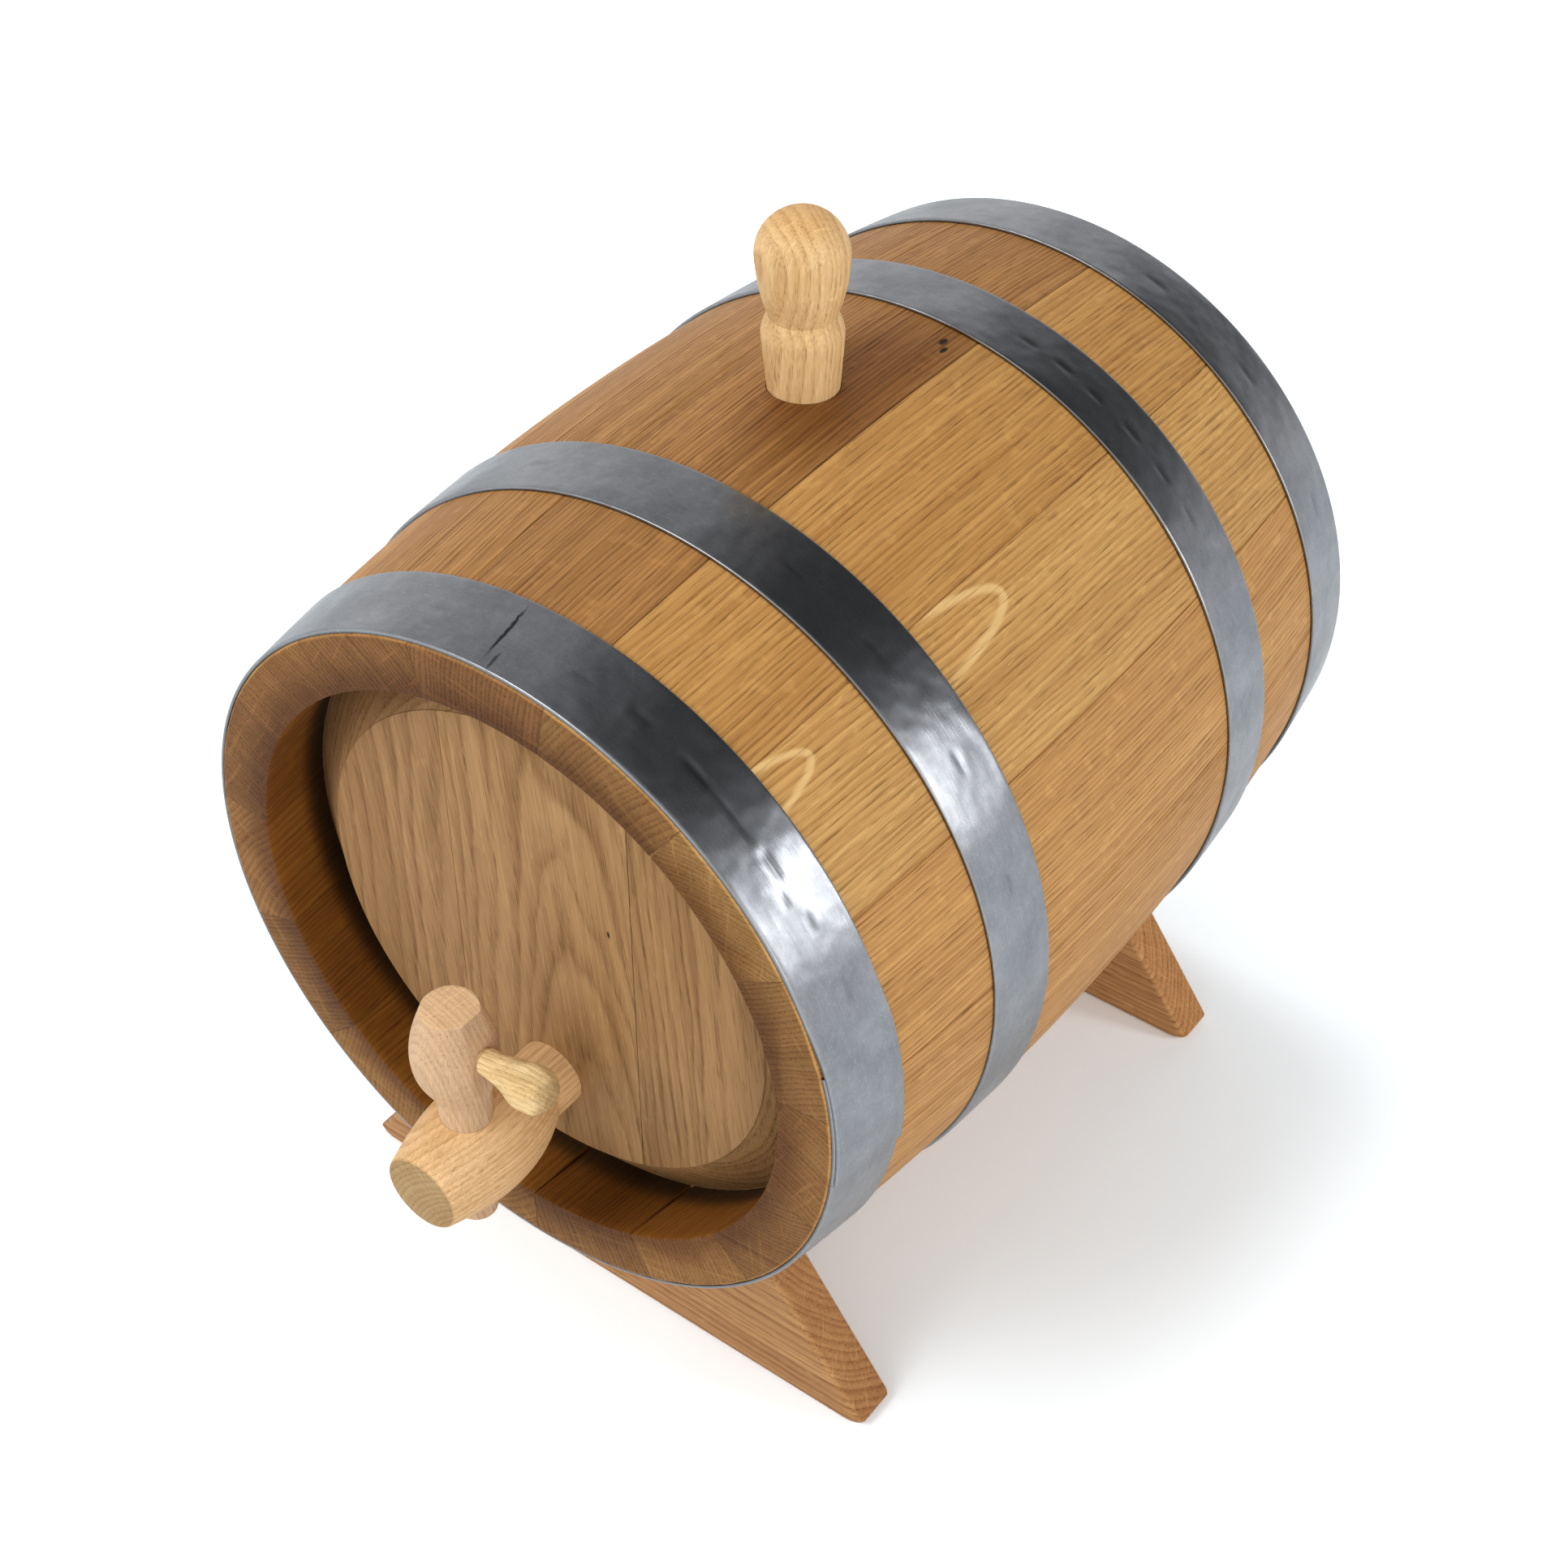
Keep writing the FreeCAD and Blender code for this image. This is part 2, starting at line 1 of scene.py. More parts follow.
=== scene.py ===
"""Looks of the oak cask with its wooden tap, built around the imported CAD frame.

Shapes are worked out in millimetres in the row frame and scaled to metres when a mesh is made.
X runs across the cask, Y along it from the tap end to the rear end, Z up.
Angles about the cask are in degrees from the top towards +X.
"""
import math

import bmesh
import bpy
import numpy as np
from mathutils import Matrix, Vector

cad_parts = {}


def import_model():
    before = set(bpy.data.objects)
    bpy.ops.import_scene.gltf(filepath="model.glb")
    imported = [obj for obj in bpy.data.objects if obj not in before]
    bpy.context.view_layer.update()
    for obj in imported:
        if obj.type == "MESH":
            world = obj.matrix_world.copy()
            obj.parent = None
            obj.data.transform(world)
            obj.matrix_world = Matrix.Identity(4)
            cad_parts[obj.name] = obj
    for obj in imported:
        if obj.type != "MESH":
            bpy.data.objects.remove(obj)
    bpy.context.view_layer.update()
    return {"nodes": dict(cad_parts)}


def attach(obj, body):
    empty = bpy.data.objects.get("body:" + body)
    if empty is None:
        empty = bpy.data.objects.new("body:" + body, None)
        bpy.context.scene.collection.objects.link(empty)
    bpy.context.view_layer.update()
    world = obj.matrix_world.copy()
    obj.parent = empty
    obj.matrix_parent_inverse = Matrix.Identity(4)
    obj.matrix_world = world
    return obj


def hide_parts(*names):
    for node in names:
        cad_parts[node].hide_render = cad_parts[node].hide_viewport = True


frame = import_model()

MM = 0.001
FRONT, REAR = -1, 1

# -------- sizes, as in the solids
MID_Y = 24.6
HALF_LENGTH = 160.0
AXIS_Z = 190.0
BILGE_RADIUS = 137.4
END_RADIUS = 125.2
STAVE_COUNT = 15
STAVE_THICKNESS = 19.5
STAVE_TURN = -1.0
HEAD_RECESS = 16.2
HEAD_FACE_RADIUS = 89.0
CROZE_SETBACK = 31.0
CROZE_WIDTH = 6.0
CROZE_DEPTH = 4.0
HEAD_SEAMS = (-36.0, 38.0)
HOOP_THICKNESS = 1.3
HOOP_SEAT = 0.05
HOOPS = {
    # name: (end, setback, width, angle where the lap starts)
    "front_chime_hoop": (FRONT, 0.5, 28.5, 75.0),
    "front_quarter_hoop": (FRONT, 74.3, 27.5, 195.0),
    "rear_quarter_hoop": (REAR, 74.3, 27.5, 145.0),
    "rear_chime_hoop": (REAR, 0.5, 28.5, 190.0),
}
LAP_ANGLE = 20.0
HOOP_ARC_RADIUS = 130.0  # turns an angle about the cask into a length on a hoop
HEAD_FACE_Y = MID_Y - HALF_LENGTH + HEAD_RECESS
BUNG_RADIUS = 11.95  # at the bilge, which the bung's heights are taken from
BUNG_TAPER = 0.072  # radius gained per mm of height
BUNG_FOOT = -28.5
BUNG_SHOULDER = 19.4
BUNG_NECK = 25.6
BUNG_NECK_RADIUS = 11.1
BUNG_BALL = 46.4
BUNG_BALL_RADIUS = 15.0
BUNG_GAP = 0.3
TAP_Z = AXIS_Z - 59.0
TAP_NECK = 11.2  # the tap's places are taken from the head's face
TAP_NECK_RADIUS = 12.4
TAP_BELLY = 40.2
TAP_BELLY_RADIUS = 19.3
TAP_REACH = 65.4
TAP_NOSE_RADIUS = 13.9
TAP_TAPER = 0.07  # radius lost per mm of depth in the head
TAP_BORE_RADIUS = 4.5
KEY_Y = HEAD_FACE_Y - 41.2
KEY_TOP_RADIUS = 8.8  # at the top of the tap
KEY_TAPER = 0.04
KEY_BORE_RADIUS = 4.0
KEY_FOOT = -29.3  # the key's heights are taken from the tap's axis
KEY_STEM_TOP = 28.8
HANDLE_TOP = KEY_STEM_TOP + 36.5
HANDLE_WAIST = HANDLE_TOP - 15.6
HANDLE_RADIUS = 14.0
HANDLE_OFFSET = -1.9
HANDLE_PARING = 0.9  # share of the radius left on the pared side
PEG_Z = TAP_Z + HANDLE_WAIST
PEG_FACE_X = HANDLE_OFFSET + HANDLE_PARING * HANDLE_RADIUS
PEG_RADIUS = 3.85
PEG_SHAFT = 5.5
PEG_HEAD_LENGTH = 22.5
PEG_HEAD_RADIUS = 8.3
PLANK_SETBACK = 36.0
PLANK_THICKNESS = 18.5
PLANK_HEIGHT = 70.0
PLANK_ARRIS = 2.5
HALF_FLOOR = 114.0
END_SLOPE = math.radians(33.5)
TOE_RADIUS = 7.0
SEAT_GAP = 0.3
RAIL_HALF_WIDTH = 14.0
RAIL_HALF_HEIGHT = 10.0
RAIL_X = 38.0

CENTRE = (0.0, MID_Y, AXIS_Z)
sagitta = BILGE_RADIUS - END_RADIUS
bend_radius = (HALF_LENGTH ** 2 + sagitta ** 2) / (2 * sagitta)


def cask_radius(y, offset=0.0):
    """Radius of the bent outer surface at y, moved outwards by offset."""
    return BILGE_RADIUS - bend_radius + math.sqrt((bend_radius + offset) ** 2 - (y - MID_Y) ** 2)


def bung_radius(height):
    return BUNG_RADIUS + BUNG_TAPER * height


def key_radius(height):
    return KEY_TOP_RADIUS - KEY_TAPER * (TAP_BELLY_RADIUS - height)


def on_cask(angle, y, radius):
    a = math.radians(angle)
    return (radius * math.sin(a), y, AXIS_Z + radius * math.cos(a))


def smoothstep(low, high, value):
    t = min(1.0, max(0.0, (value - low) / (high - low)))
    return t * t * (3 - 2 * t)


# -------- materials
class Graph:
    """Small helper that adds nodes to a material or a world."""

    def __init__(self, owner):
        owner.use_nodes = True
        self.owner = owner
        self.tree = owner.node_tree
        self.tree.nodes.clear()

    def node(self, kind, **settings):
        made = self.tree.nodes.new("ShaderNode" + kind)
        for key, value in settings.items():
            setattr(made, key, value)
        return made

    def feed(self, socket, value):
        if isinstance(value, bpy.types.NodeSocket):
            self.tree.links.new(value, socket)
        elif socket.type == "RGBA":
            socket.default_value = (*value, 1.0)
        else:
            socket.default_value = value

    def result(self, kind, output, inputs, **settings):
        """One output of a new node, whose inputs are fed by name or number."""
        made = self.node(kind, **settings)
        for key, value in inputs.items():
            self.feed(made.inputs[key], value)
        return made.outputs[output]

    def math(self, operation, a, b=0.0, clamp=False):
        return self.result("Math", 0, {0: a, 1: b}, operation=operation, use_clamp=clamp)

    def add(self, a, b, clamp=False):
        return self.math("ADD", a, b, clamp)

    def sub(self, a, b):
        return self.math("SUBTRACT", a, b)

    def mul(self, a, b):
        return self.math("MULTIPLY", a, b)

    def div(self, a, b):
        return self.math("DIVIDE", a, b)

    def swing(self, value, amount):
        """How far value is from a half, times amount."""
        return self.mul(self.sub(value, 0.5), amount)

    def vector(self, operation, a, b=(0.0, 0.0, 0.0)):
        output = "Value" if operation in ("DOT_PRODUCT", "LENGTH") else "Vector"
        return self.result("VectorMath", output, {0: a, 1: b}, operation=operation)

    def split(self, vector):
        made = self.node("SeparateXYZ")
        self.feed(made.inputs[0], vector)
        return made.outputs

    def join(self, x, y, z):
        return self.result("CombineXYZ", 0, {0: x, 1: y, 2: z})

    def noise(self, vector, scale=1.0, detail=2.0, roughness=0.5, distortion=0.0):
        return self.result("TexNoise", "Fac", {
            "Vector": vector, "Scale": scale, "Detail": detail, "Roughness": roughness,
            "Distortion": distortion,
        }, noise_dimensions="3D")

    def ramp(self, value, stops):
        made = self.node("ValToRGB")
        elements = made.color_ramp.elements
        while len(elements) < len(stops):
            elements.new(0.5)
        for element, (position, level) in zip(elements, stops):
            element.position = position
            element.color = (level, level, level, 1.0)
        self.feed(made.inputs[0], value)
        return made.outputs["Color"]

    def span(self, value, low, high, to_low=0.0, to_high=1.0):
        """Smooth step from to_low to to_high as value goes from low to high."""
        inputs = dict(enumerate((value, low, high, to_low, to_high)))
        return self.result("MapRange", 0, inputs, interpolation_type="SMOOTHSTEP")

    def mix(self, factor, a, b, blend="MIX"):
        return self.result("Mix", 2, {0: factor, 6: a, 7: b}, data_type="RGBA", blend_type=blend)

    def attribute(self, name):
        return self.node("Attribute", attribute_name=name).outputs["Fac"]

    def coordinates(self, name):
        return self.node("TexCoord").outputs[name]

    def bump(self, height, strength, distance):
        return self.result("Bump", 0, {"Height": height, "Strength": strength, "Distance": distance})

    def surface(self, colour, roughness, **more):
        """Ends the material in a Principled shader; more holds its other inputs by name."""
        inputs = {"Base Color": colour, "Roughness": roughness}
        inputs.update({key.replace("_", " "): value for key, value in more.items()})
        self.end(self.result("BsdfPrincipled", 0, inputs))
        return self.owner

    def end(self, shader, kind="OutputMaterial"):
        self.feed(self.node(kind).inputs[0], shader)


def linear(colour):
    """Linear colour of an sRGB colour that goes from 0 to 255."""
    return tuple(v / 12.92 if v <= 0.04045 else ((v + 0.055) / 1.055) ** 2.4 for v in shade(colour, 1 / 255))


def shade(colour, factor):
    return tuple(c * factor for c in colour)


GRAIN_AXES = {
    # world axes that lie across the board's width, along its grain and through its thickness
    "Y": (0, 1, 2),
    "Z": (0, 2, 1),
    "X": (2, 0, 1),
}


def oak(name, light, dark, grain="Y", turn=0.0, centre=CENTRE, bend=0.0,
        pith=(90.0, -40.0), ring=2.1, tilt=0.004, seed=0.0, ring_depth=0.55, fibre=0.52,
        pore=0.62, patch=0.35, ray=0.25, end_shade=0.62, end_hue=(1.0, 0.93, 0.86),
        roughness=0.52, relief=0.35, marks=(), wobble=4.0, wedge=0.0,
        fine=1.0, flames=(), damp=None):
    """Solid oak: growth rings about a pith line, pores, fibres and rays, the same on every face.

    light and dark are sRGB. pith is the pith line's place across and through the board, in
    millimetres from centre. turn is the board's angle about the cask, and bend follows the stave's
    bow. marks are (x, y, z, across, along) darker spots in the board's own axes. wedge is half the
    angle that a stave takes up, whose two joints are drawn as fine dark lines. fine makes the pores
    and fibres that much thinner and shorter. flames are (across, along, spread, width) of pale
    tongues of figure with their tips at that place. damp is (across, along, half width, half
    length) of a place that spilt liquor has darkened.
    """
    light, dark = linear(light), linear(dark)
    g = Graph(bpy.data.materials.new(name))
    place = g.vector("SUBTRACT", g.coordinates("Object"), shade(centre, MM))
    place = g.result("Mapping", 0, {
        "Vector": place, "Rotation": (0.0, math.radians(-turn), 0.0), "Scale": (1.0 / MM,) * 3,
    }, vector_type="POINT")
    parts = g.split(place)
    across, along, through = (parts[i] for i in GRAIN_AXES[grain])
    to_joint = None
    if wedge:
        side = g.mul(g.math("ABSOLUTE", across), math.cos(math.radians(wedge)))
        to_joint = g.sub(side, g.mul(through, math.sin(math.radians(wedge))))
    if bend:
        through = g.add(through, g.mul(g.mul(along, along), bend))

    def streaks(wide, long, shift, **kind):
        """Noise drawn out along the grain."""
        place = g.join(g.mul(across, wide), g.mul(along, long), g.add(g.mul(through, wide), shift))
        return g.noise(place, **kind)

    # growth rings
    drift = streaks(0.02, 0.006, seed, detail=3.0)
    px = g.sub(across, pith[0])
    pz = g.sub(through, pith[1])
    radius = g.math("SQRT", g.add(g.mul(px, px), g.mul(pz, pz)))
    radius = g.add(radius, g.mul(along, tilt))
    radius = g.add(radius, g.mul(drift, wobble * 2))
    spacing = g.noise(g.join(g.mul(radius, 0.13), seed, 0.0), detail=1.0)
    count = g.add(g.div(radius, ring), g.mul(spacing, 2.5))
    phase = g.math("FRACT", count)
    early = g.ramp(phase, [(0.0, 0.35), (0.10, 1.0), (0.34, 0.55), (0.62, 0.15), (0.9, 0.08), (1.0, 0.35)])
    year = g.noise(g.join(g.math("FLOOR", count), seed, 1.7), scale=0.77, detail=0.0)

    # pores: fine short grooves along the grain, most of them in the early wood
    pores = streaks(2.1 * fine, 0.085 * fine, seed, detail=1.0)
    pores = g.span(pores, 0.53, 0.68)
    pores = g.mul(pores, g.add(g.mul(early, 0.75), 0.25))
    # fibres: long soft streaks
    fibres = streaks(0.9 * fine, 0.012 * fine, seed + 5.3, detail=3.0, roughness=0.62)
    # broad patches
    patches = streaks(0.09, 0.008, seed + 9.1, detail=3.0)
    # rays: thin plates that run out from the pith
    angle = g.mul(g.math("ARCTAN2", pz, px), 100.0)
    rays = g.noise(g.join(g.mul(angle, 0.75), g.mul(radius, 0.045), g.mul(along, 0.16)), detail=1.0)
    rays = g.span(rays, 0.60, 0.72)

    # end grain: faces across the grain
    normal = g.split(g.result(
        "VectorTransform", 0, {0: g.node("NewGeometry").outputs["True Normal"]},
        vector_type="NORMAL", convert_from="WORLD", convert_to="OBJECT"))
    end = g.span(g.math("ABSOLUTE", normal["XYZ".index(grain)]), 0.55, 0.9)

    tone = g.mul(g.sub(0.5, early), ring_depth)
    tone = g.add(tone, g.swing(fibres, fibre * 2.2))
    tone = g.add(tone, g.swing(patches, patch * 2.4))
    tone = g.add(tone, g.swing(year, 0.55))
    tone = g.add(tone, g.mul(rays, ray))
    tone = g.add(tone, 0.5, clamp=True)
    colour = g.mix(tone, dark, light)
    colour = g.mix(g.mul(pores, pore), colour, shade(dark, 0.42))
    for x, y, spread, wide in flames:
        dx = g.add(g.sub(across, x), g.swing(drift, 9.0))
        reach = g.add(g.sub(along, y), g.div(g.mul(dx, dx), spread))
        lean = g.div(g.mul(dx, 2.0), spread)
        slope = g.math("SQRT", g.add(g.mul(lean, lean), 1.0))
        reach = g.div(reach, slope)
        band = g.mul(g.span(reach, -1.7 * wide, -0.2 * wide), g.span(reach, 0.9 * wide, 0.2 * wide))
        band = g.mul(band, g.span(g.sub(y, along), 46.0, 22.0, 0.0, 0.62))
        band = g.mul(band, g.sub(1.0, g.mul(pores, 0.5)))
        colour = g.mix(band, colour, linear((232, 194, 134)))
    if damp:
        dx = g.div(g.sub(across, damp[0]), damp[2])
        dy = g.div(g.sub(along, damp[1]), damp[3])
        away = g.add(g.vector("LENGTH", g.join(dx, dy, 0.0)), g.swing(fibres, 1.1))
        wet = g.span(away, 1.25, 0.45)
        colour = g.mix(wet, colour, g.mix(1.0, colour, (0.60, 0.50, 0.38), "MULTIPLY"))
    end_colour = g.mix(g.mul(rays, 0.3), colour, shade(light, 1.25))
    end_colour = g.mix(1.0, end_colour, shade(end_hue, end_shade), "MULTIPLY")
    colour = g.mix(end, colour, end_colour)
    # painted shade, with some grime: the staves' inner face turns darker towards the croze and near black
    # past it
    grime_and_shade = g.attribute("grime_and_shade")
    colour = g.mix(g.span(grime_and_shade, 0.0, 0.6), colour, g.mix(1.0, colour, (0.50, 0.38, 0.18), "MULTIPLY"))
    colour = g.mix(g.span(grime_and_shade, 0.6, 1.0, 0.0, 0.88), colour, (0.012, 0.008, 0.004))
    rim = g.attribute("rim")
    colour = g.mix(g.mul(rim, 0.75), colour, shade(light, 1.12))
    if to_joint:
        line = g.mul(g.span(to_joint, -0.34, -0.10), g.add(0.14, g.mul(end, 0.46)))
        colour = g.mix(line, colour, shade(dark, 0.22))
    for x, y, z, wide, long in marks:
        reaches = ((across, x, wide), (along, y, long), (through, z, 3.0))
        parts = (g.div(g.sub(a, b), c) for a, b, c in reaches)
        spot = g.span(g.vector("LENGTH", g.join(*parts)), 1.15, 0.55)
        colour = g.mix(spot, colour, shade(dark, 0.10))

    height = g.sub(g.mul(fibres, 0.6), g.mul(pores, 1.1))
    height = g.sub(height, g.mul(early, 0.25))
    rough = g.add(g.mul(tone, -0.10), roughness + 0.05)
    rough = g.add(rough, g.mul(pores, 0.2))
    rough = g.add(rough, g.mul(end, 0.12), clamp=True)
    return g.surface(colour, rough, Normal=g.bump(height, relief, 0.0004), Specular_IOR_Level=0.22)


def steel(name, seed, marks=()):
    """Dull galvanised strip: mottled grey, fine scratches along the hoop, brighter rims that are partly wear
    and partly painted highlight.

    marks are (angle, y, half arc, half width, slant, tint, strength) of stains and cracks.
    """
    g = Graph(bpy.data.materials.new(name))
    x, y, z = g.split(g.vector("SUBTRACT", g.coordinates("Object"), shade(CENTRE, MM)))
    arc = g.mul(g.math("ARCTAN2", x, z), HOOP_ARC_RADIUS)
    along = g.mul(y, 1.0 / MM)
    flat = g.join(g.mul(x, 1.0 / MM), along, g.mul(z, 1.0 / MM))

    def clouds(shift, scale, **kind):
        return g.noise(g.vector("ADD", flat, shift), scale, **kind)

    cloud = clouds((seed, 0.0, 0.0), 0.05)
    spangle = clouds((seed, 3.0, 0.0), 0.22, detail=3.0, roughness=0.65, distortion=0.8)
    speck = clouds((0.0, seed, 0.0), 1.3)
    brushed = g.noise(g.join(g.mul(arc, 0.035), g.mul(along, 3.2), seed))
    scratch = g.noise(g.join(g.mul(arc, 0.16), g.mul(along, 1.1), seed + 4.0), detail=3.0, distortion=1.2)
    scratch = g.span(g.math("ABSOLUTE", g.sub(scratch, 0.5)), 0.012, 0.0)
    tone = g.add(g.swing(cloud, 1.5), g.swing(spangle, 1.1))
    tone = g.add(tone, g.swing(brushed, 0.5))
    tone = g.add(tone, 0.5, clamp=True)
    colour = g.mix(tone, (0.195, 0.203, 0.220), (0.300, 0.311, 0.333))
    colour = g.mix(g.mul(scratch, 0.35), colour, (0.55, 0.56, 0.58))
    colour = g.mix(g.mul(g.span(speck, 0.68, 0.76), 0.5), colour, (0.16, 0.155, 0.15))
    # painted highlight, partly wear: the rims are paler
    colour = g.mix(g.mul(g.attribute("rim"), 0.4), colour, (0.38, 0.39, 0.39))
    # painted shade, with some dust: near black where the hoop's edges sit on the staves and in the dents
    colour = g.mix(g.attribute("seat_dust_and_shade"), colour, (0.05, 0.05, 0.052))
    rough = g.add(g.mul(tone, -0.10), 0.30)
    rough = g.add(rough, g.mul(spangle, 0.08))
    for mid_angle, mid_y, half_arc, half_y, slant, tint, strength in marks:
        wave = clouds((7.0, seed, 2.0), 0.35)
        da = g.sub(arc, math.radians(mid_angle) * HOOP_ARC_RADIUS)
        dy = g.sub(along, mid_y - MID_Y)
        da = g.add(da, g.mul(dy, slant))
        da = g.add(da, g.swing(wave, 1.8))
        away = g.join(g.div(da, half_arc), g.div(dy, half_y), 0.0)
        spot = g.span(g.vector("LENGTH", away), 1.1, 0.5, 0.0, strength)
        colour = g.mix(spot, colour, tint)
    height = g.add(cloud, g.mul(brushed, 0.02))
    return g.surface(colour, rough, Normal=g.bump(height, 0.5, 0.0016), Metallic=1.0)


# -------- meshes
def mesh_of(name, shape):
    """Mesh from the points, in millimetres, and faces of a shape."""
    points, faces = shape
    mesh = bpy.data.meshes.new(name)
    mesh.from_pydata([(x * MM, y * MM, z * MM) for x, y, z in points], [], faces)
    return mesh


def face_outwards(mesh):
    tidy = bmesh.new()
    tidy.from_mesh(mesh)
    bmesh.ops.recalc_face_normals(tidy, faces=tidy.faces)
    tidy.to_mesh(mesh)
    tidy.free()


def smooth(mesh, sharp):
    """Smooth shading between edges sharper than that many degrees."""
    mesh.shade_smooth()
    mesh.set_sharp_from_angle(angle=math.radians(sharp))


def make(name, shape, material, body, nodes=(), attributes=None, sharp=38.0):
    """A piece from a shape; it rides on body and stands for the CAD nodes."""
    mesh = mesh_of(name, shape)
    for key, values in (attributes or {}).items():
        mesh.attributes.new(key, "FLOAT", "POINT").data.foreach_set("value", values)
    return dress(name, mesh, material, body, nodes, sharp)


def dress(name, mesh, material, body, nodes, sharp=38.0):
    face_outwards(mesh)
    smooth(mesh, sharp)
    mesh.materials.append(material)
    piece = bpy.data.objects.new(name, mesh)
    bpy.context.scene.collection.objects.link(piece)
    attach(piece, body)
    if nodes:
        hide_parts(*nodes)
    return piece


def loft(loops):
    """Points and faces of a body between loops of equal size, closed at both ends."""
    points = [p for loop in loops for p in loop]
    size = len(loops[0])
    faces = []
    for a in range(0, len(points) - size, size):
        for j in range(size):
            k = (j + 1) % size
            faces.append((a + j, a + k, a + size + k, a + size + j))
    faces.append(tuple(range(size - 1, -1, -1)))
    faces.append(tuple(range(len(points) - size, len(points))))
    return points, faces


def cut(piece, shape):
    """Cuts a closed shape out of a piece."""
    mesh = mesh_of("cutter", shape)
    face_outwards(mesh)
    tool = bpy.data.objects.new("cutter", mesh)
    bpy.context.scene.collection.objects.link(tool)
    modifier = piece.modifiers.new("cut", "BOOLEAN")
    modifier.operation = "DIFFERENCE"
    modifier.solver = "EXACT"
    modifier.object = tool
    bpy.context.view_layer.update()
    graph = bpy.context.evaluated_depsgraph_get()
    done = bpy.data.meshes.new_from_object(piece.evaluated_get(graph))
    piece.modifiers.clear()
    old = piece.data
    piece.data = done
    bpy.data.meshes.remove(old)
    bpy.data.objects.remove(tool)
    smooth(done, 38.0)


def turned(profile, place, segments, form):
    """A turned body. profile is (distance, radius); form moves a point and place maps it."""
    loops = []
    for distance, radius in profile:
        loop = []
        for s in range(segments):
            a = 2 * math.pi * s / segments
            u, v = radius * math.cos(a), radius * math.sin(a)
            loop.append(place(distance, *form(distance, radius, a, u, v)))
        loops.append(loop)
    return loft(loops)


def rod(start, end, start_radius, end_radius, segments=64):
    """Cone frustum between two points, used to cut round holes."""
    start, end = Vector(start), Vector(end)
    axis = (end - start).normalized()
    side = axis.orthogonal().normalized()
    other = axis.cross(side)
    loops = []
    for centre, radius in ((start, start_radius), (end, end_radius)):
        loops.append([
            tuple(centre + side * (radius * math.cos(a)) + other * (radius * math.sin(a)))
            for a in (2 * math.pi * s / segments for s in range(segments))
        ])
    return loft(loops)


def smooth_curve(knots, steps):
    """Natural cubic curve through (distance, radius) knots, as a list of points."""
    values = np.array(knots, float)
    t = np.concatenate([[0], np.cumsum(np.hypot(*np.diff(values, axis=0).T))])
    h = np.diff(t)
    n = len(t)
    matrix = np.eye(n)
    right = np.zeros((n, 2))
    for i in range(1, n - 1):
        matrix[i, i - 1:i + 2] = h[i - 1], 2 * (h[i - 1] + h[i]), h[i]
        right[i] = 6 * ((values[i + 1] - values[i]) / h[i] - (values[i] - values[i - 1]) / h[i - 1])
    second = np.linalg.solve(matrix, right)
    out = []
    for q in np.linspace(0, t[-1], steps + 1):
        i = min(n - 2, max(0, int(np.searchsorted(t, q) - 1)))
        a, b = (t[i + 1] - q) / h[i], (q - t[i]) / h[i]
        bent = ((a ** 3 - a) * second[i] + (b ** 3 - b) * second[i + 1]) * h[i] ** 2 / 6
        out.append(tuple(a * values[i] + b * values[i + 1] + bent))
    return out


# -------- staves
STAVE_LOOKS = [
    # (light, dark, pith, tilt, ring) going round from the top
    ((172, 123, 68), (124, 81, 40), (120, -30), 0.004, 1.7),
    ((192, 145, 82), (153, 104, 52), (150, -60), 0.006, 2.0),
    ((206, 161, 96), (164, 115, 59), (75, -80), 0.020, 1.6),
    ((204, 154, 90), (162, 112, 59), (-140, -50), 0.005, 1.8),
    ((198, 148, 85), (156, 106, 54), (130, -70), 0.004, 2.1),
    ((190, 140, 79), (148, 100, 52), (-90, -80), 0.006, 1.9),
    ((200, 150, 86), (160, 110, 58), (110, -40), 0.003, 1.8),
    ((186, 136, 76), (142, 95, 49), (-150, -30), 0.004, 2.0),
    ((196, 146, 83), (152, 104, 54), (100, -90), 0.007, 2.2),
    ((204, 154, 88), (162, 112, 59), (-120, -60), 0.004, 1.9),
    ((188, 138, 77), (146, 98, 50), (160, -20), 0.003, 1.8),
    ((198, 148, 85), (156, 106, 56), (-80, -100), 0.008, 2.3),
    ((180, 130, 72), (136, 91, 45), (140, -50), 0.004, 1.9),
    ((196, 144, 81), (150, 100, 50), (-130, -40), 0.005, 1.8),
    ((182, 132, 74), (134, 89, 43), (-110, -70), 0.004, 2.0),
]
END_TONES = (0.60, 0.50, 0.54, 0.46, 0.50, 0.48, 0.56, 0.54, 0.52, 0.54, 0.50, 0.56, 0.52, 0.50, 0.54)
STAVE_EXTRAS = {
    # what single staves show besides: a place that liquor wetted, dark marks, pale figure
    0: {"damp": (12.0, 8.0, 26.0, 62.0),
        "marks": ((20.2, 50.0, BILGE_RADIUS - 1.6, 1.3, 2.6), (23.0, 46.0, BILGE_RADIUS - 2.0, 1.0, 2.4))},
    2: {"flames": ((-18.5, -18.8, 3.7, 2.0), (-20.0, -112.0, 3.2, 1.6))},
}
OPEN_JOINTS = (2, 7, 8)  # staves whose first side stands open at the front chime
JOINT_GAP = 0.02
OUTER_EASE = 0.4
INNER_EASE = 0.35
END_EASE = 0.8


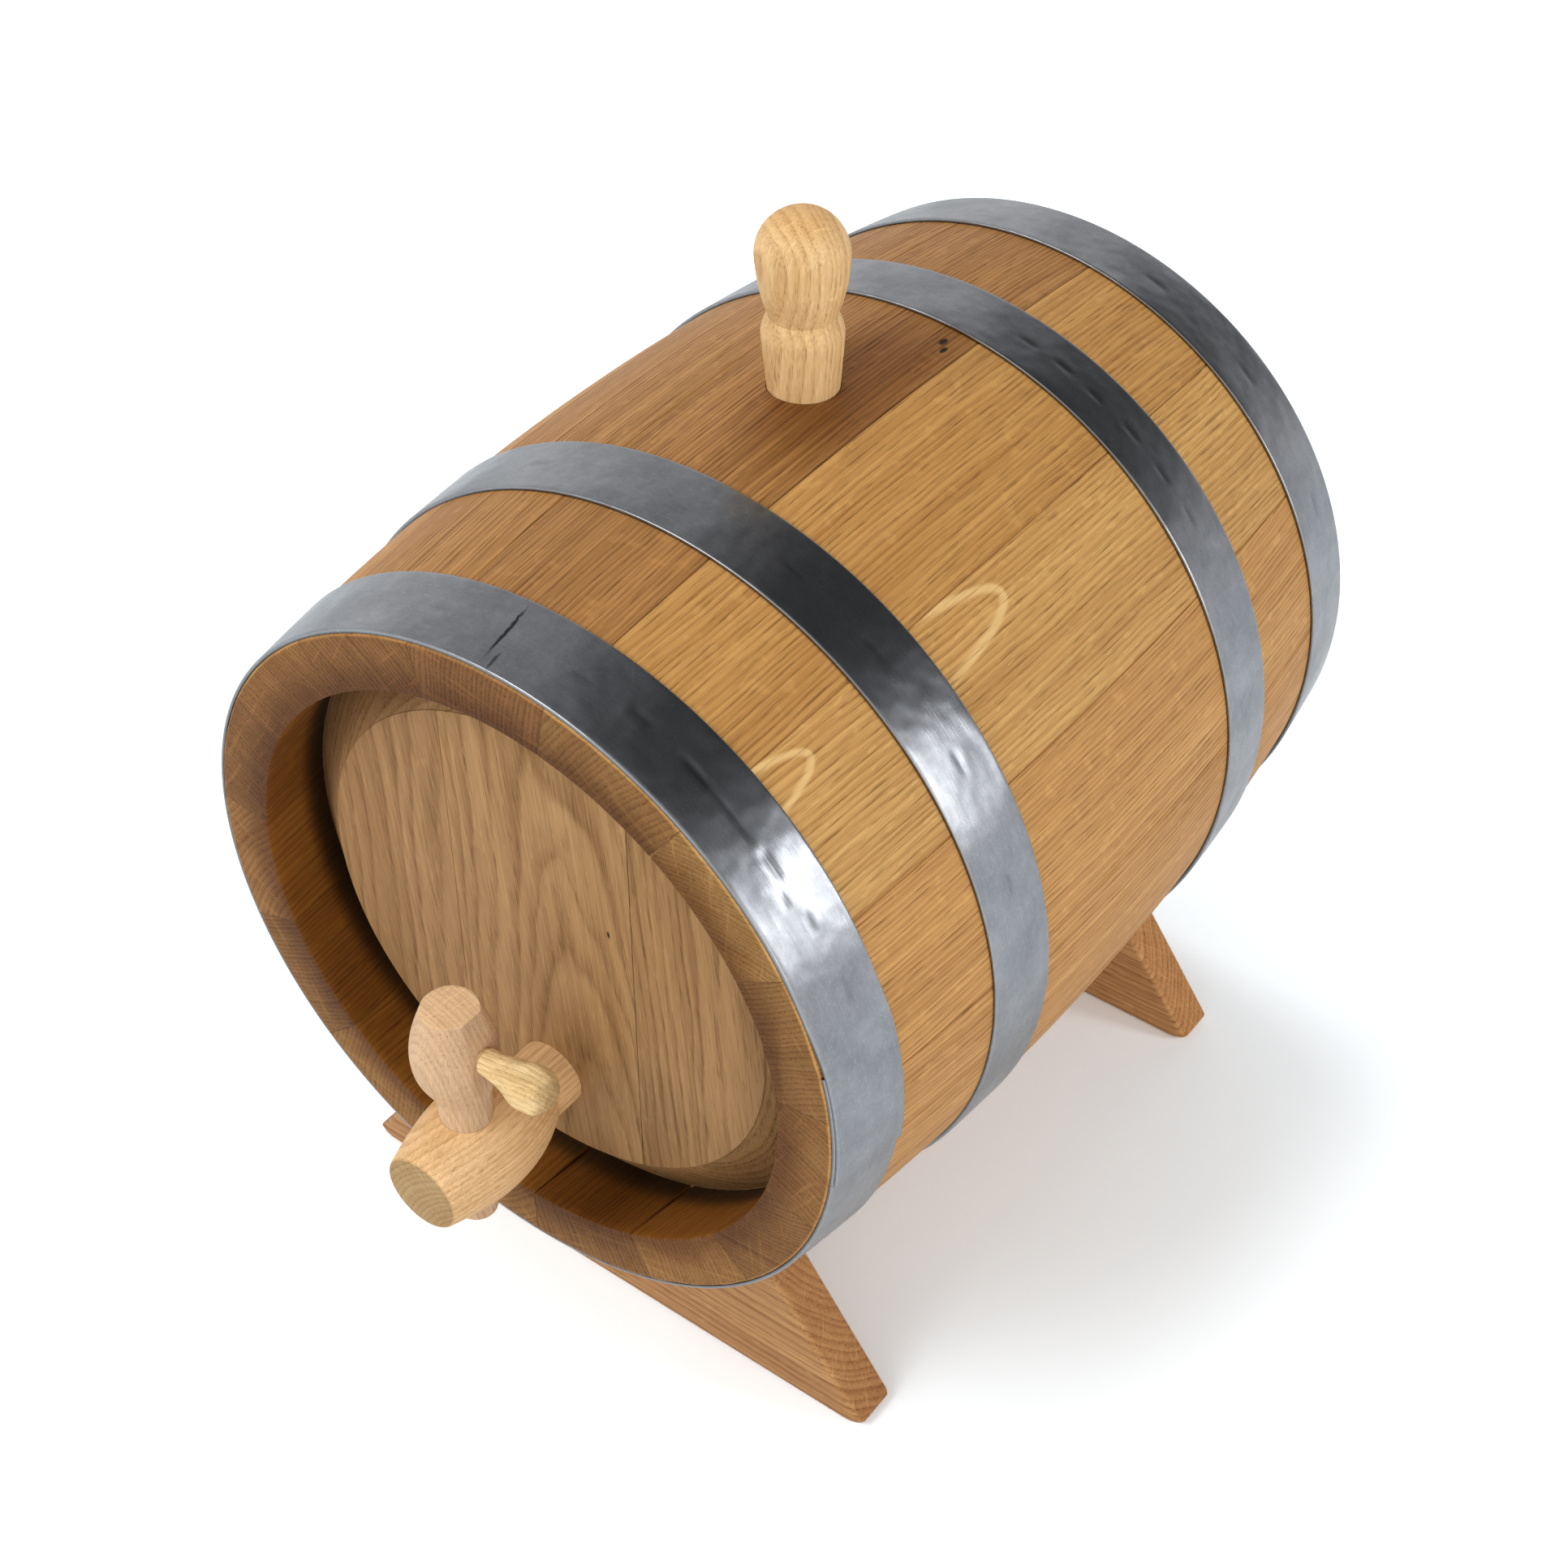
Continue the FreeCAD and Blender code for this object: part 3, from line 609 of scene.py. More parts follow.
def stave_stations():
    """(y, offset of the inner surface, ease at the end) along a stave."""
    front = MID_Y - HALF_LENGTH
    wall, floor = -STAVE_THICKNESS, -STAVE_THICKNESS + CROZE_DEPTH
    rows = [(0.0, wall, 3.0), (0.0, wall, END_EASE), (0.25 * END_EASE, wall, 0.3 * END_EASE)]
    rows += [(y, wall, 0.0) for y in (END_EASE, 4, 8, 12, 16, 20, 24, 28)]
    rows += [(CROZE_SETBACK, wall, 0.0), (CROZE_SETBACK + 0.01, floor, 0.0)]
    rows += [(CROZE_SETBACK + CROZE_WIDTH, floor, 0.0), (CROZE_SETBACK + CROZE_WIDTH + 0.01, wall, 0.0)]
    rows += [(y, wall, 0.0) for y in range(44, 160, 6)]
    rows += [(160.0, wall, 0.0)]
    rows += [(2 * HALF_LENGTH - depth, offset, ease) for depth, offset, ease in reversed(rows[:-1])]
    return [(front + depth, offset, ease) for depth, offset, ease in rows]


def stave(index):
    """Bent stave with eased edges, a croze near each end and, on top, the bung hole."""
    name = "stave_%02d" % (index + 1)
    middle = STAVE_TURN + index * 360.0 / STAVE_COUNT
    half = 180.0 / STAVE_COUNT
    loops, rim, grime_and_shade = [], [], []
    rng = np.random.default_rng(100 + index)
    front = MID_Y - HALF_LENGTH
    for y, offset, ease in stave_stations():
        outer = cask_radius(y) - ease
        inner = cask_radius(y, offset) + ease
        from_front = y - front
        depth = min(from_front, 2 * HALF_LENGTH - from_front)
        rough = 0.35 * math.exp(-depth / 1.2)
        outer_edge = math.degrees(OUTER_EASE / outer)
        gaps = []
        for first in (index, (index + 1) % STAVE_COUNT):
            gap = JOINT_GAP
            if first in OPEN_JOINTS and from_front < CROZE_SETBACK + CROZE_WIDTH:
                gap += 0.15 + 0.75 * smoothstep(2.0, 30.0, from_front)
            gaps.append(math.degrees(gap / inner))
        inner_edge = math.degrees(INNER_EASE / inner)
        loop = []
        for step in range(13):
            a = -half + outer_edge + (2 * half - 2 * outer_edge) * step / 12
            chip = rough * rng.random()
            loop.append(on_cask(middle + a, y, outer - chip))
            rim.append((0.4 + 0.6 * rng.random()) if 0.0 < ease < END_EASE else 0.0)
        loop.append(on_cask(middle + half - 0.008, y, outer - OUTER_EASE))
        loop.append(on_cask(middle + half - gaps[1], y, inner + INNER_EASE))
        for step in range(9):
            a = half - gaps[1] - inner_edge - (2 * half - gaps[0] - gaps[1] - 2 * inner_edge) * step / 8
            loop.append(on_cask(middle + a, y, inner))
        loop.append(on_cask(middle - half + gaps[0], y, inner + INNER_EASE))
        loop.append(on_cask(middle - half + 0.008, y, outer - OUTER_EASE))
        rim += [0.0] * 13
        # painted shade, with some grime: the inner face is darker towards the croze and near black past it
        inside = 0.55 + 0.45 * smoothstep(13.0, CROZE_SETBACK - 2.0, depth)
        grime_and_shade += [0.0] * 14 + [0.7 * inside] + [inside] * 9 + [0.7 * inside, 0.0]
        loops.append(loop)
    light, dark, pith, tilt, ring = STAVE_LOOKS[index]
    material = oak("oak_" + name, light, dark, "Y", middle, CENTRE, sagitta / HALF_LENGTH ** 2,
                   (pith[0], pith[1] + BILGE_RADIUS), ring, tilt, seed=index * 13.7,
                   end_shade=END_TONES[index], wedge=half, **STAVE_EXTRAS.get(index, {}))
    piece = make("oak_" + name, loft(loops), material, "cask", (name,),
                 {"rim": rim, "grime_and_shade": grime_and_shade})
    if index == 0:
        a = math.radians(STAVE_TURN)
        out = Vector((math.sin(a), 0.0, math.cos(a)))
        hub = Vector(CENTRE)
        cut(piece, rod(hub + out * (BILGE_RADIUS + BUNG_FOOT), hub + out * (BILGE_RADIUS + 10.0),
                        bung_radius(BUNG_FOOT) + BUNG_GAP, bung_radius(10.0) + BUNG_GAP))


for number in range(STAVE_COUNT):
    stave(number)


# -------- heads
HEAD_GRAIN_LEAN = -6.0  # degrees that the grain leans from upright
PAST_HEAD = 200.0  # X beyond the head, for boards that reach its edge
SEAM_GAP = 0.03  # from each board to the seam
HEAD_LOOKS = {
    "left": ((173, 133, 89), (135, 98, 60), (-20, -95), 0.050, 3.0),
    "middle": ((176, 137, 90), (135, 98, 58), (12, -80), 0.045, 2.6),
    "right": ((169, 130, 84), (131, 94, 56), (90, -60), 0.010, 2.2),
}


def head_profile(end):
    """(depth from the stave ends, radius) of the head's outline from the face to the inner side."""
    wall = cask_radius(MID_Y + end * (HALF_LENGTH - CROZE_SETBACK), -STAVE_THICKNESS)
    tongue = wall + CROZE_DEPTH - 0.1
    return [
        (HEAD_RECESS, HEAD_FACE_RADIUS - 0.5),
        (HEAD_RECESS + 0.12, HEAD_FACE_RADIUS - 0.1),
        (HEAD_RECESS + 0.5, HEAD_FACE_RADIUS + 0.15),
        (CROZE_SETBACK + 0.1, wall - 0.1),
        (CROZE_SETBACK + 0.1, tongue),
        (CROZE_SETBACK + CROZE_WIDTH - 0.1, tongue),
    ]


def head_board(end, name, side, low, high):
    """One board of a head: the turned disc between two upright seams."""
    profile = head_profile(end)
    mesh = bmesh.new()
    segments = 240
    points, faces = loft([
        [on_cask(360.0 * s / segments, MID_Y + end * (HALF_LENGTH - depth), radius) for s in range(segments)]
        for depth, radius in profile
    ])
    verts = [mesh.verts.new([c * MM for c in p]) for p in points]
    for face in faces:
        mesh.faces.new([verts[i] for i in face])
    seam_edges = []
    for limit, way in ((low, -1), (high, 1)):
        if abs(limit) == PAST_HEAD:
            continue
        everything = mesh.verts[:] + mesh.edges[:] + mesh.faces[:]
        result = bmesh.ops.bisect_plane(mesh, geom=everything, clear_outer=True, plane_no=(way, 0, 0),
                                        plane_co=((limit - way * SEAM_GAP) * MM, 0, 0))
        edges = [e for e in result["geom_cut"] if isinstance(e, bmesh.types.BMEdge)]
        bmesh.ops.holes_fill(mesh, edges=edges)
        seam_edges += edges
    mesh.normal_update()
    bmesh.ops.recalc_face_normals(mesh, faces=mesh.faces)
    alive = [e for e in seam_edges if e.is_valid]
    bmesh.ops.bevel(mesh, geom=alive, offset=0.22 * MM, segments=1, affect="EDGES")
    data = bpy.data.meshes.new(name)
    mesh.to_mesh(data)
    mesh.free()
    light, dark, pith, tilt, ring = HEAD_LOOKS[side]
    marks = ()
    if end == FRONT and side == "middle":
        marks = ((31.0, 20.0, 0.0, 0.6, 1.6),)
    material = oak("oak_%s_grain" % name, light, dark, "Z", HEAD_GRAIN_LEAN,
                   (0.0, HEAD_FACE_Y if end == FRONT else 2 * MID_Y - HEAD_FACE_Y, AXIS_Z), 0.0,
                   pith, ring, tilt, seed=31.0 + len(side) * 7.7 + end * 3.1, roughness=0.58, wobble=6.0,
                   pore=0.5, fibre=0.62, patch=0.5, marks=marks)
    piece = dress("oak_" + name, data, material, "cask", (name,), 20.0)
    if end == FRONT and side == "middle":
        hole = TAP_NECK_RADIUS + 0.05
        cut(piece, rod((0, HEAD_FACE_Y - 1.0, TAP_Z), (0, HEAD_FACE_Y + 24.0, TAP_Z),
                        hole + TAP_TAPER, hole - 24.0 * TAP_TAPER))


for head_end, head_name in ((FRONT, "front"), (REAR, "rear")):
    edges_x = (-PAST_HEAD,) + HEAD_SEAMS + (PAST_HEAD,)
    for head_side, left_x, right_x in zip(("left", "middle", "right"), edges_x, edges_x[1:]):
        head_board(head_end, "%s_head_board_%s" % (head_name, head_side), head_side, left_x, right_x)


# -------- hoops
HOOP_DENTS = {
    # (angle, share of the width from the front, length mm, width mm, depth mm, slant)
    "front_chime_hoop": (
        (31, .52, 13, 1.3, .30, .3), (38, .50, 17, 1.2, .32, .25), (46, .52, 11, 1.4, .30, .4),
        (50.5, .42, 5, 1.0, .25, 1.5), (55, .55, 6, 1.1, .22, .8), (66, .6, 9, 1.3, .16, .4),
        (21, .55, 9, 1.3, .14, .3), (12, .5, 8, 1.2, .12, .2), (-12, .5, 8, 1.3, .12, .3)),
    "front_quarter_hoop": (
        (20, .5, 8, 1.2, .16, .3), (34, .48, 9, 1.2, .16, .3), (52, .52, 9, 1.3, .16, .2),
        (-22, .5, 9, 1.4, .14, .3), (70, .5, 8, 1.2, .14, .3)),
    "rear_quarter_hoop": (
        (16, .5, 7, 1.2, .24, .3), (22, .52, 7, 1.2, .26, .3), (28, .5, 7, 1.2, .24, .3),
        (35, .52, 8, 1.2, .24, .3), (42, .5, 8, 1.2, .22, .3), (49, .5, 7, 1.2, .18, .3)),
    "rear_chime_hoop": (
        (20, .5, 9, 1.3, .16, .3), (40, .5, 9, 1.3, .16, .3), (64, .52, 9, 1.3, .16, .3)),
}


def hoop(name, seed):
    """Bent strip with lapped ends, slightly wavy and dented by the driver."""
    end, setback, width, lap_start = HOOPS[name]
    near = MID_Y + end * (HALF_LENGTH - setback)
    far = near - end * width
    front_y = min(near, far)
    rng = np.random.default_rng(seed)
    waves = [(rng.integers(5, 26), rng.uniform(0, 6.28), rng.uniform(-0.1, 0.1), rng.uniform(0.4, 1.0))
             for _ in range(9)]
    rows = [0.0, 0.12, 0.35, 0.8] + [0.8 + (width - 1.6) * k / 24 for k in range(1, 24)]
    rows += [width - 0.8, width - 0.35, width - 0.12, width]
    rounding = {0.0: 0.35, 0.12: 0.14, 0.35: 0.03}
    columns = 760
    total = 360.0 + LAP_ANGLE
    loops, rim, seat_dust_and_shade = [], [], []
    for c in range(columns + 1):
        s = total * c / columns
        angle = lap_start + s
        lift = HOOP_THICKNESS * smoothstep(350.0, 360.5, s)
        loop = []
        for row in rows:
            y = front_y + row
            edge = min(row, width - row)
            drop = next((d for key, d in rounding.items() if abs(edge - key) < 0.02), 0.0)
            swell = 0.0
            for count, phase, slope, weight in waves:
                swell += weight * math.sin(count * math.radians(angle) + phase + slope * row)
            swell *= 0.030 * smoothstep(0.0, 6.0, s) * smoothstep(0.0, 3.0, edge)
            dent = 0.0
            for at, share, long, wide, deep, slant in HOOP_DENTS[name]:
                da = ((angle - at + 180.0) % 360.0) - 180.0
                arc = math.radians(da) * HOOP_ARC_RADIUS
                across = row - share * width + slant * arc * 0.12
                if abs(arc) < long:
                    dent += deep * math.exp(-(2 * arc / long) ** 4 - (across / wide) ** 2 * 1.4)
            radius = cask_radius(y, HOOP_SEAT + HOOP_THICKNESS) + lift - drop + swell - dent
            loop.append(on_cask(angle, y, radius))
            rim.append(max(0.0, 1.0 - edge / 0.5))
            # painted shade, with some dust: the dents are darkened
            seat_dust_and_shade.append(min(0.6, 2.0 * dent))
        # the strip's edges down on the staves get near-black painted shade, with some dust
        for row in (width, 0.0):
            y = front_y + row
            loop.append(on_cask(angle, y, cask_radius(y, HOOP_SEAT) + lift))
            rim.append(0.3)
            seat_dust_and_shade.append(0.9)
        loops.append(loop)
    marks = ()
    if name == "front_chime_hoop":
        marks = (
            (-1.0, front_y + 15.0, 0.8, 12.0, 0.10, (0.02, 0.02, 0.022), 0.9),
            (1.0, front_y + 4.0, 0.7, 4.0, 0.1, (0.03, 0.03, 0.03), 0.7),
            (95.5, front_y + 6.0, 1.3, 8.0, 0.0, (0.17, 0.12, 0.06), 0.9),
        )
    make("steel_" + name, loft(loops), steel("steel_" + name, seed * 3.3, marks), "cask",
         (name,), {"rim": rim, "seat_dust_and_shade": seat_dust_and_shade}, 40.0)


for hoop_seed, hoop_name in enumerate(HOOPS):
    hoop(hoop_name, 11 + hoop_seed)


# -------- bung
def bung():
    """Turned bung: a long taper in the stave, a shoulder, a neck and a ball."""
    shoulder = bung_radius(BUNG_SHOULDER)
    knots_low = [(BUNG_SHOULDER, shoulder), (22.5, shoulder - 0.8), (BUNG_NECK, BUNG_NECK_RADIUS)]
    swell = BUNG_NECK_RADIUS + 0.72 * (BUNG_BALL_RADIUS - BUNG_NECK_RADIUS)
    knots_high = [(BUNG_NECK, BUNG_NECK_RADIUS), (36.0, swell), (BUNG_BALL, BUNG_BALL_RADIUS)]
    foot = bung_radius(BUNG_FOOT)
    profile = [(BUNG_FOOT, foot - 0.8), (BUNG_FOOT + 0.25, foot - 0.25), (BUNG_FOOT + 0.8, foot)]
    profile += [(h, bung_radius(h)) for h in np.linspace(BUNG_FOOT + 3, BUNG_SHOULDER - 0.5, 14)]
    profile += [(19.25, bung_radius(19.25) - 0.05)]
    profile += smooth_curve(knots_low, 8)[1:]
    profile += smooth_curve(knots_high, 14)[1:]
    for step in range(1, 20):
        a = math.radians(90.0 * step / 20)
        profile.append((BUNG_BALL + BUNG_BALL_RADIUS * math.sin(a), BUNG_BALL_RADIUS * math.cos(a)))
    profile.append((BUNG_BALL + BUNG_BALL_RADIUS, 0.15))
    a = math.radians(STAVE_TURN)

    def place(distance, u, v):
        reach = BILGE_RADIUS + distance
        x, z = reach * math.sin(a) + u * math.cos(a), reach * math.cos(a) - u * math.sin(a)
        return (x, MID_Y + v, AXIS_Z + z)

    def worn(distance, radius, angle, u, v):
        flat = 1.0 + 0.010 * math.sin(2 * angle + 0.7) + 0.006 * math.sin(3 * angle + distance * 0.15)
        flat = 1.0 if distance < 12 else flat
        return u * flat, v * flat

    material = oak("bung_grain", (232, 196, 142), (200, 156, 102), "Z", 0.0,
                   (0.0, MID_Y, AXIS_Z + 150.0), 0.0, (18.0, 30.0), 3.0, 0.02, seed=71.0, pore=0.6,
                   ring_depth=0.45, patch=0.3, fibre=0.7, fine=1.4, end_shade=0.92, roughness=0.5,
                   wobble=5.0)
    make("turned_bung", turned(profile, place, 96, worn), material, "bung", ("bung",))


bung()


# -------- tap and key
def tap():
    """Turned tap body with its tapered shank, the key's seat and the bore."""
    head_thickness = CROZE_SETBACK + CROZE_WIDTH - 0.1 - HEAD_RECESS
    tail = -head_thickness - 12.0
    belly = smooth_curve([
        (TAP_NECK, TAP_NECK_RADIUS),
        (TAP_NECK + 6.0, TAP_NECK_RADIUS + 0.42 * (TAP_BELLY_RADIUS - TAP_NECK_RADIUS)),
        (TAP_BELLY, TAP_BELLY_RADIUS),
        (TAP_REACH - 13.0, TAP_NOSE_RADIUS + 0.66 * (TAP_BELLY_RADIUS - TAP_NOSE_RADIUS)),
        (TAP_REACH - 1.2, TAP_NOSE_RADIUS + 0.3),
    ], 46)
    tail_radius = TAP_NECK_RADIUS + TAP_TAPER * tail
    profile = [(tail, tail_radius - 0.6), (tail + 0.6, tail_radius)]
    profile += [(d, TAP_NECK_RADIUS + TAP_TAPER * d) for d in (-15.0, -8.0, -2.0)]
    profile += [(d, TAP_NECK_RADIUS) for d in (0.0, 3.0, 6.0, 9.0)]
    profile += belly
    profile += [(TAP_REACH - back, radius) for back, radius in (
        (0.7, 14.0), (0.3, 13.6), (0.05, 13.0), (0.0, 12.4), (-0.02, 6.0), (-0.02, 0.1))]

    def place(distance, u, v):
        return (u, HEAD_FACE_Y - distance, TAP_Z + v)

    def turned_by_hand(distance, radius, angle, u, v):
        wave = 1.0
        if 8.0 < distance < 64.0:
            wave += 0.006 * math.sin(angle * 2 + 1.1) + 0.004 * math.sin(angle * 5 + distance * 0.2)
        return u * wave, v * wave

    material = oak("tap_grain", (248, 208, 156), (206, 158, 102), "Y", 0.0, (0.0, -150.0, TAP_Z), 0.0,
                   (26.0, -22.0), 1.9, 0.03, seed=83.0, pore=0.45, ring_depth=0.4, patch=0.3, fibre=0.7,
                   ray=0.1, end_shade=0.56, end_hue=(0.94, 0.95, 0.86), wobble=3.0, fine=1.9)
    piece = make("turned_tap", turned(profile, place, 112, turned_by_hand), material,
                 "cask", ("tap_body",))
    reach, gap = 24.0, 0.08
    cut(piece, rod((0, KEY_Y, TAP_Z - reach), (0, KEY_Y, TAP_Z + reach),
                    key_radius(-reach) + gap, key_radius(reach) + gap))
    cut(piece, rod((0, KEY_Y, TAP_Z), (0, HEAD_FACE_Y + 40.0, TAP_Z), TAP_BORE_RADIUS, TAP_BORE_RADIUS))


def key():
    """Tapered plug with its spout below and an egg-shaped handle, pared on one side."""
    stem = key_radius(KEY_STEM_TOP)
    flare = (KEY_STEM_TOP + 0.28 * (HANDLE_WAIST - KEY_STEM_TOP), stem + 0.62 * (HANDLE_RADIUS - stem))
    waist = (HANDLE_WAIST, HANDLE_RADIUS)
    egg = smooth_curve([(KEY_STEM_TOP, stem), flare, waist, (HANDLE_TOP - 0.5, 9.75)], 34)
    profile = [(KEY_FOOT, key_radius(KEY_FOOT) - 0.5), (KEY_FOOT + 0.5, key_radius(KEY_FOOT))]
    profile += [(h, key_radius(h)) for h in range(-24, 25, 6)]
    profile += egg
    profile += [(HANDLE_TOP - 0.15, 9.55), (HANDLE_TOP - 0.02, 9.2), (HANDLE_TOP, 8.6), (HANDLE_TOP, 0.1)]

    def place(distance, u, v):
        return (u, KEY_Y + v, TAP_Z + distance)

    def form(distance, radius, angle, u, v):
        lean = HANDLE_OFFSET * smoothstep(KEY_STEM_TOP - 2.0, KEY_STEM_TOP + 9.0, distance)
        if distance > KEY_STEM_TOP + 1.0:
            ripple = 1.0 + 0.012 * math.sin(3 * angle + 0.8) + 0.008 * math.sin(7 * angle + distance * 0.25)
            u, v = u * ripple, v * ripple
            pared = smoothstep(KEY_STEM_TOP + 2.0, KEY_STEM_TOP + 12.0, distance)
            u = min(u, radius * (1.0 - (1.0 - HANDLE_PARING) * pared))
        return u + lean, v

    # end_shade above 1 makes the handle's top face paler than its sides: painted light on the top
    material = oak("key_grain", (228, 194, 156), (190, 152, 116), "Z", 0.0, (0.0, KEY_Y, TAP_Z + 45.0), 0.0,
                   (-14.0, -60.0), 1.8, 0.20, seed=97.0, pore=0.55, ring_depth=0.25, patch=0.3, fibre=0.6,
                   ray=0.0, end_shade=1.25, end_hue=(1.0, 0.99, 0.94), roughness=0.6, wobble=3.0, fine=2.2,
                   marks=((-9.5, -8.0, -9.0, 0.9, 0.9),))
    piece = make("carved_key", turned(profile, place, 104, form), material, "key", ("tap_key",))
    peg_hole = PEG_RADIUS + 0.08
    cut(piece, rod((PEG_FACE_X - 10.5, KEY_Y, PEG_Z), (PEG_FACE_X + 8.0, KEY_Y, PEG_Z), peg_hole, peg_hole))
    for start, stop in (((0, KEY_Y, TAP_Z + KEY_FOOT - 2.0), (0, KEY_Y, TAP_Z + 4.0)),
                        ((-12.0, KEY_Y, TAP_Z), (0, KEY_Y, TAP_Z))):
        cut(piece, rod(start, stop, KEY_BORE_RADIUS, KEY_BORE_RADIUS))


def peg():
    """Whittled peg in the handle's side, with the flats that the knife left."""
    knots = [(PEG_SHAFT + share * PEG_HEAD_LENGTH, radius) for share, radius in (
        (0.0, 4.9), (0.42, 0.88 * PEG_HEAD_RADIUS), (0.64, 8.25), (0.84, 0.86 * PEG_HEAD_RADIUS))]
    knots.append((27.6, 0.42 * PEG_HEAD_RADIUS))
    profile = [(-10.0, 3.3), (-9.6, 3.75), (-6.0, PEG_RADIUS), (-2.0, PEG_RADIUS), (0.3, PEG_RADIUS),
               (0.9, 4.45), (3.0, 4.7)]
    profile += smooth_curve(knots, 40)
    profile.append((PEG_SHAFT + PEG_HEAD_LENGTH, 0.1))
    step = 2 * math.pi / 7  # seven flats

    def place(distance, u, v):
        return (PEG_FACE_X + distance, KEY_Y + u, PEG_Z + v)

    def whittled(distance, radius, angle, u, v):
        if distance < 0.6:
            return u, v
        depth = smoothstep(0.6, 7.0, distance)
        turn = angle + 0.035 * distance
        off = (turn + 0.25 * math.sin(2 * turn)) % step - step / 2
        flat = math.cos(step / 2) / math.cos(off)
        grow = 1.0 - depth * 0.75 * (1.0 - flat)
        grow *= 1.0 + depth * (0.035 * math.sin(3 * turn + 0.5 * distance) + 0.02 * math.sin(5 * angle + 1.3))
        grow = min(grow, 1.02)
        return u * grow, v * grow

    material = oak("peg_grain", (250, 222, 168), (214, 174, 114), "X", 0.0, (PEG_FACE_X, KEY_Y, PEG_Z), 0.0,
                   (16.0, 24.0), 1.5, 0.10, seed=109.0, pore=0.4, ring_depth=0.3, patch=0.6, end_shade=0.66,
                   roughness=0.6, wobble=2.5, relief=0.6, fibre=0.6, ray=0.0, fine=2.0)
    make("whittled_peg", turned(profile, place, 96, whittled), material,
         "key", ("key_peg",), sharp=24.0)


tap()
key()
peg()


# -------- cradle
def plank_outline(y, inset, top_inset):
    """Outline of a plank at y in (x, z), drawn in by inset at the floor and ends."""
    slope = Vector((-math.sin(END_SLOPE), math.cos(END_SLOPE)))
    inward = Vector((-math.cos(END_SLOPE), -math.sin(END_SLOPE)))
    foot = Vector((HALF_FLOOR, 0.0)) + inward * inset
    corner = foot + slope * ((inset - foot.y) / slope.y)
    top = PLANK_HEIGHT - top_inset
    head = foot + slope * ((top - foot.y) / slope.y)
    opening = math.pi / 2 + END_SLOPE
    tangent = TOE_RADIUS / math.tan(opening / 2)
    centre = corner + Vector((-tangent, TOE_RADIUS))
    right = []
    for step in range(7):
        a = math.radians(-90.0) + (math.pi - opening) * step / 6
        right.append(centre + Vector((math.cos(a), math.sin(a))) * TOE_RADIUS)
    reach = cask_radius(y) + SEAT_GAP + top_inset
    lip = math.sqrt(reach ** 2 - (AXIS_Z - top) ** 2)
    right.append(right[-1].lerp(head, 0.5))
    right.append(head + slope * -0.6)
    right.append(head + Vector((-0.6, 0.0)))
    right.append(Vector((lip + 0.5, top)))
    lip_angle = math.asin(lip / reach)
    seat = []
    for step in range(25):
        a = lip_angle * (1 - step / 24)
        seat.append(Vector((reach * math.sin(a), AXIS_Z - reach * math.cos(a))))
    seat[0] = Vector((lip, top - 0.4)) if seat[0].y > top - 0.4 else seat[0]
    half = right + seat
    left = [Vector((-p.x, p.y)) for p in reversed(half[:-1])]
    return half + left


def plank(name, end, light, dark, seed):
    """Plank on edge, its outline rounded over on both faces."""
    outer = MID_Y + end * (HALF_LENGTH - PLANK_SETBACK)
    soft = 0.6
    rows = []
    for k in range(6):
        a = math.radians(90.0 * k / 5)
        short = 1 - math.sin(a)
        rows.append((PLANK_ARRIS * (1 - math.cos(a)), PLANK_ARRIS * short, soft * short))
    back = [(PLANK_THICKNESS - depth, inset, top) for depth, inset, top in reversed(rows)]
    loops = []
    for depth, inset, top in rows + [(PLANK_THICKNESS / 2, 0.0, 0.0)] + back:
        y = outer - end * depth
        loops.append([(p.x, y, p.y) for p in plank_outline(y, inset, top)])
    material = oak("oak_" + name, light, dark, "X", 0.0, (0.0, outer, 30.0), 0.0, (40.0, -end * 44.0), 2.5,
                   0.012, seed=seed, end_shade=0.80, end_hue=(1.0, 0.88, 0.76), wobble=5.0, roughness=0.5)
    make("sawn_" + name, loft(loops), material, "cradle", (name,), sharp=34.0)


# the same oak on both planks, painted darker on the front one and lighter on the rear one to offset how the
# lamps light them: painted light and shade
plank("front_plank", FRONT, (197, 149, 97), (153, 103, 59), 121.0)
plank("rear_plank", REAR, (212, 160, 104), (167, 113, 65), 137.0)


def rail(name, side):
    """Sawn rail between the planks, its long edges eased."""
    middle_z = (AXIS_Z - BILGE_RADIUS) / 2
    x0 = side * RAIL_X
    start = MID_Y - HALF_LENGTH + PLANK_SETBACK + PLANK_THICKNESS
    end_y = 2 * MID_Y - start
    ease = 1.2
    section = []
    for cx, cz, first in ((1, 1, 0), (-1, 1, 90), (-1, -1, 180), (1, -1, 270)):
        for step in range(5):
            a = math.radians(first + 90.0 * step / 4)
            section.append((cx * (RAIL_HALF_WIDTH - ease) + ease * math.cos(a),
                            cz * (RAIL_HALF_HEIGHT - ease) + ease * math.sin(a)))
    loops = []
    for k in range(25):
        y = start + (end_y - start) * k / 24
        loops.append([(x0 + u, y, middle_z + v) for u, v in section])
    material = oak("oak_" + name, (202, 154, 102), (160, 110, 64), "Y", 0.0, (x0, MID_Y, middle_z), 0.0,
                   (30.0 * side, -50.0), 2.3, 0.01, seed=150.0 + side * 9, end_shade=0.8, wobble=4.0)
    make("sawn_" + name, loft(loops), material, "cradle", (name,), sharp=34.0)


rail("left_rail", -1)
rail("right_rail", 1)

# dowels stay as the CAD has them, hidden in their boards
dowel_grain = oak("dowel_grain", (228, 190, 136), (190, 146, 92), "Y", seed=160.0)
for node_name in ("front_head_dowels", "rear_head_dowels", "rail_dowels"):
    node = frame["nodes"][node_name]
    node.data.materials.clear()
    node.data.materials.append(dowel_grain)


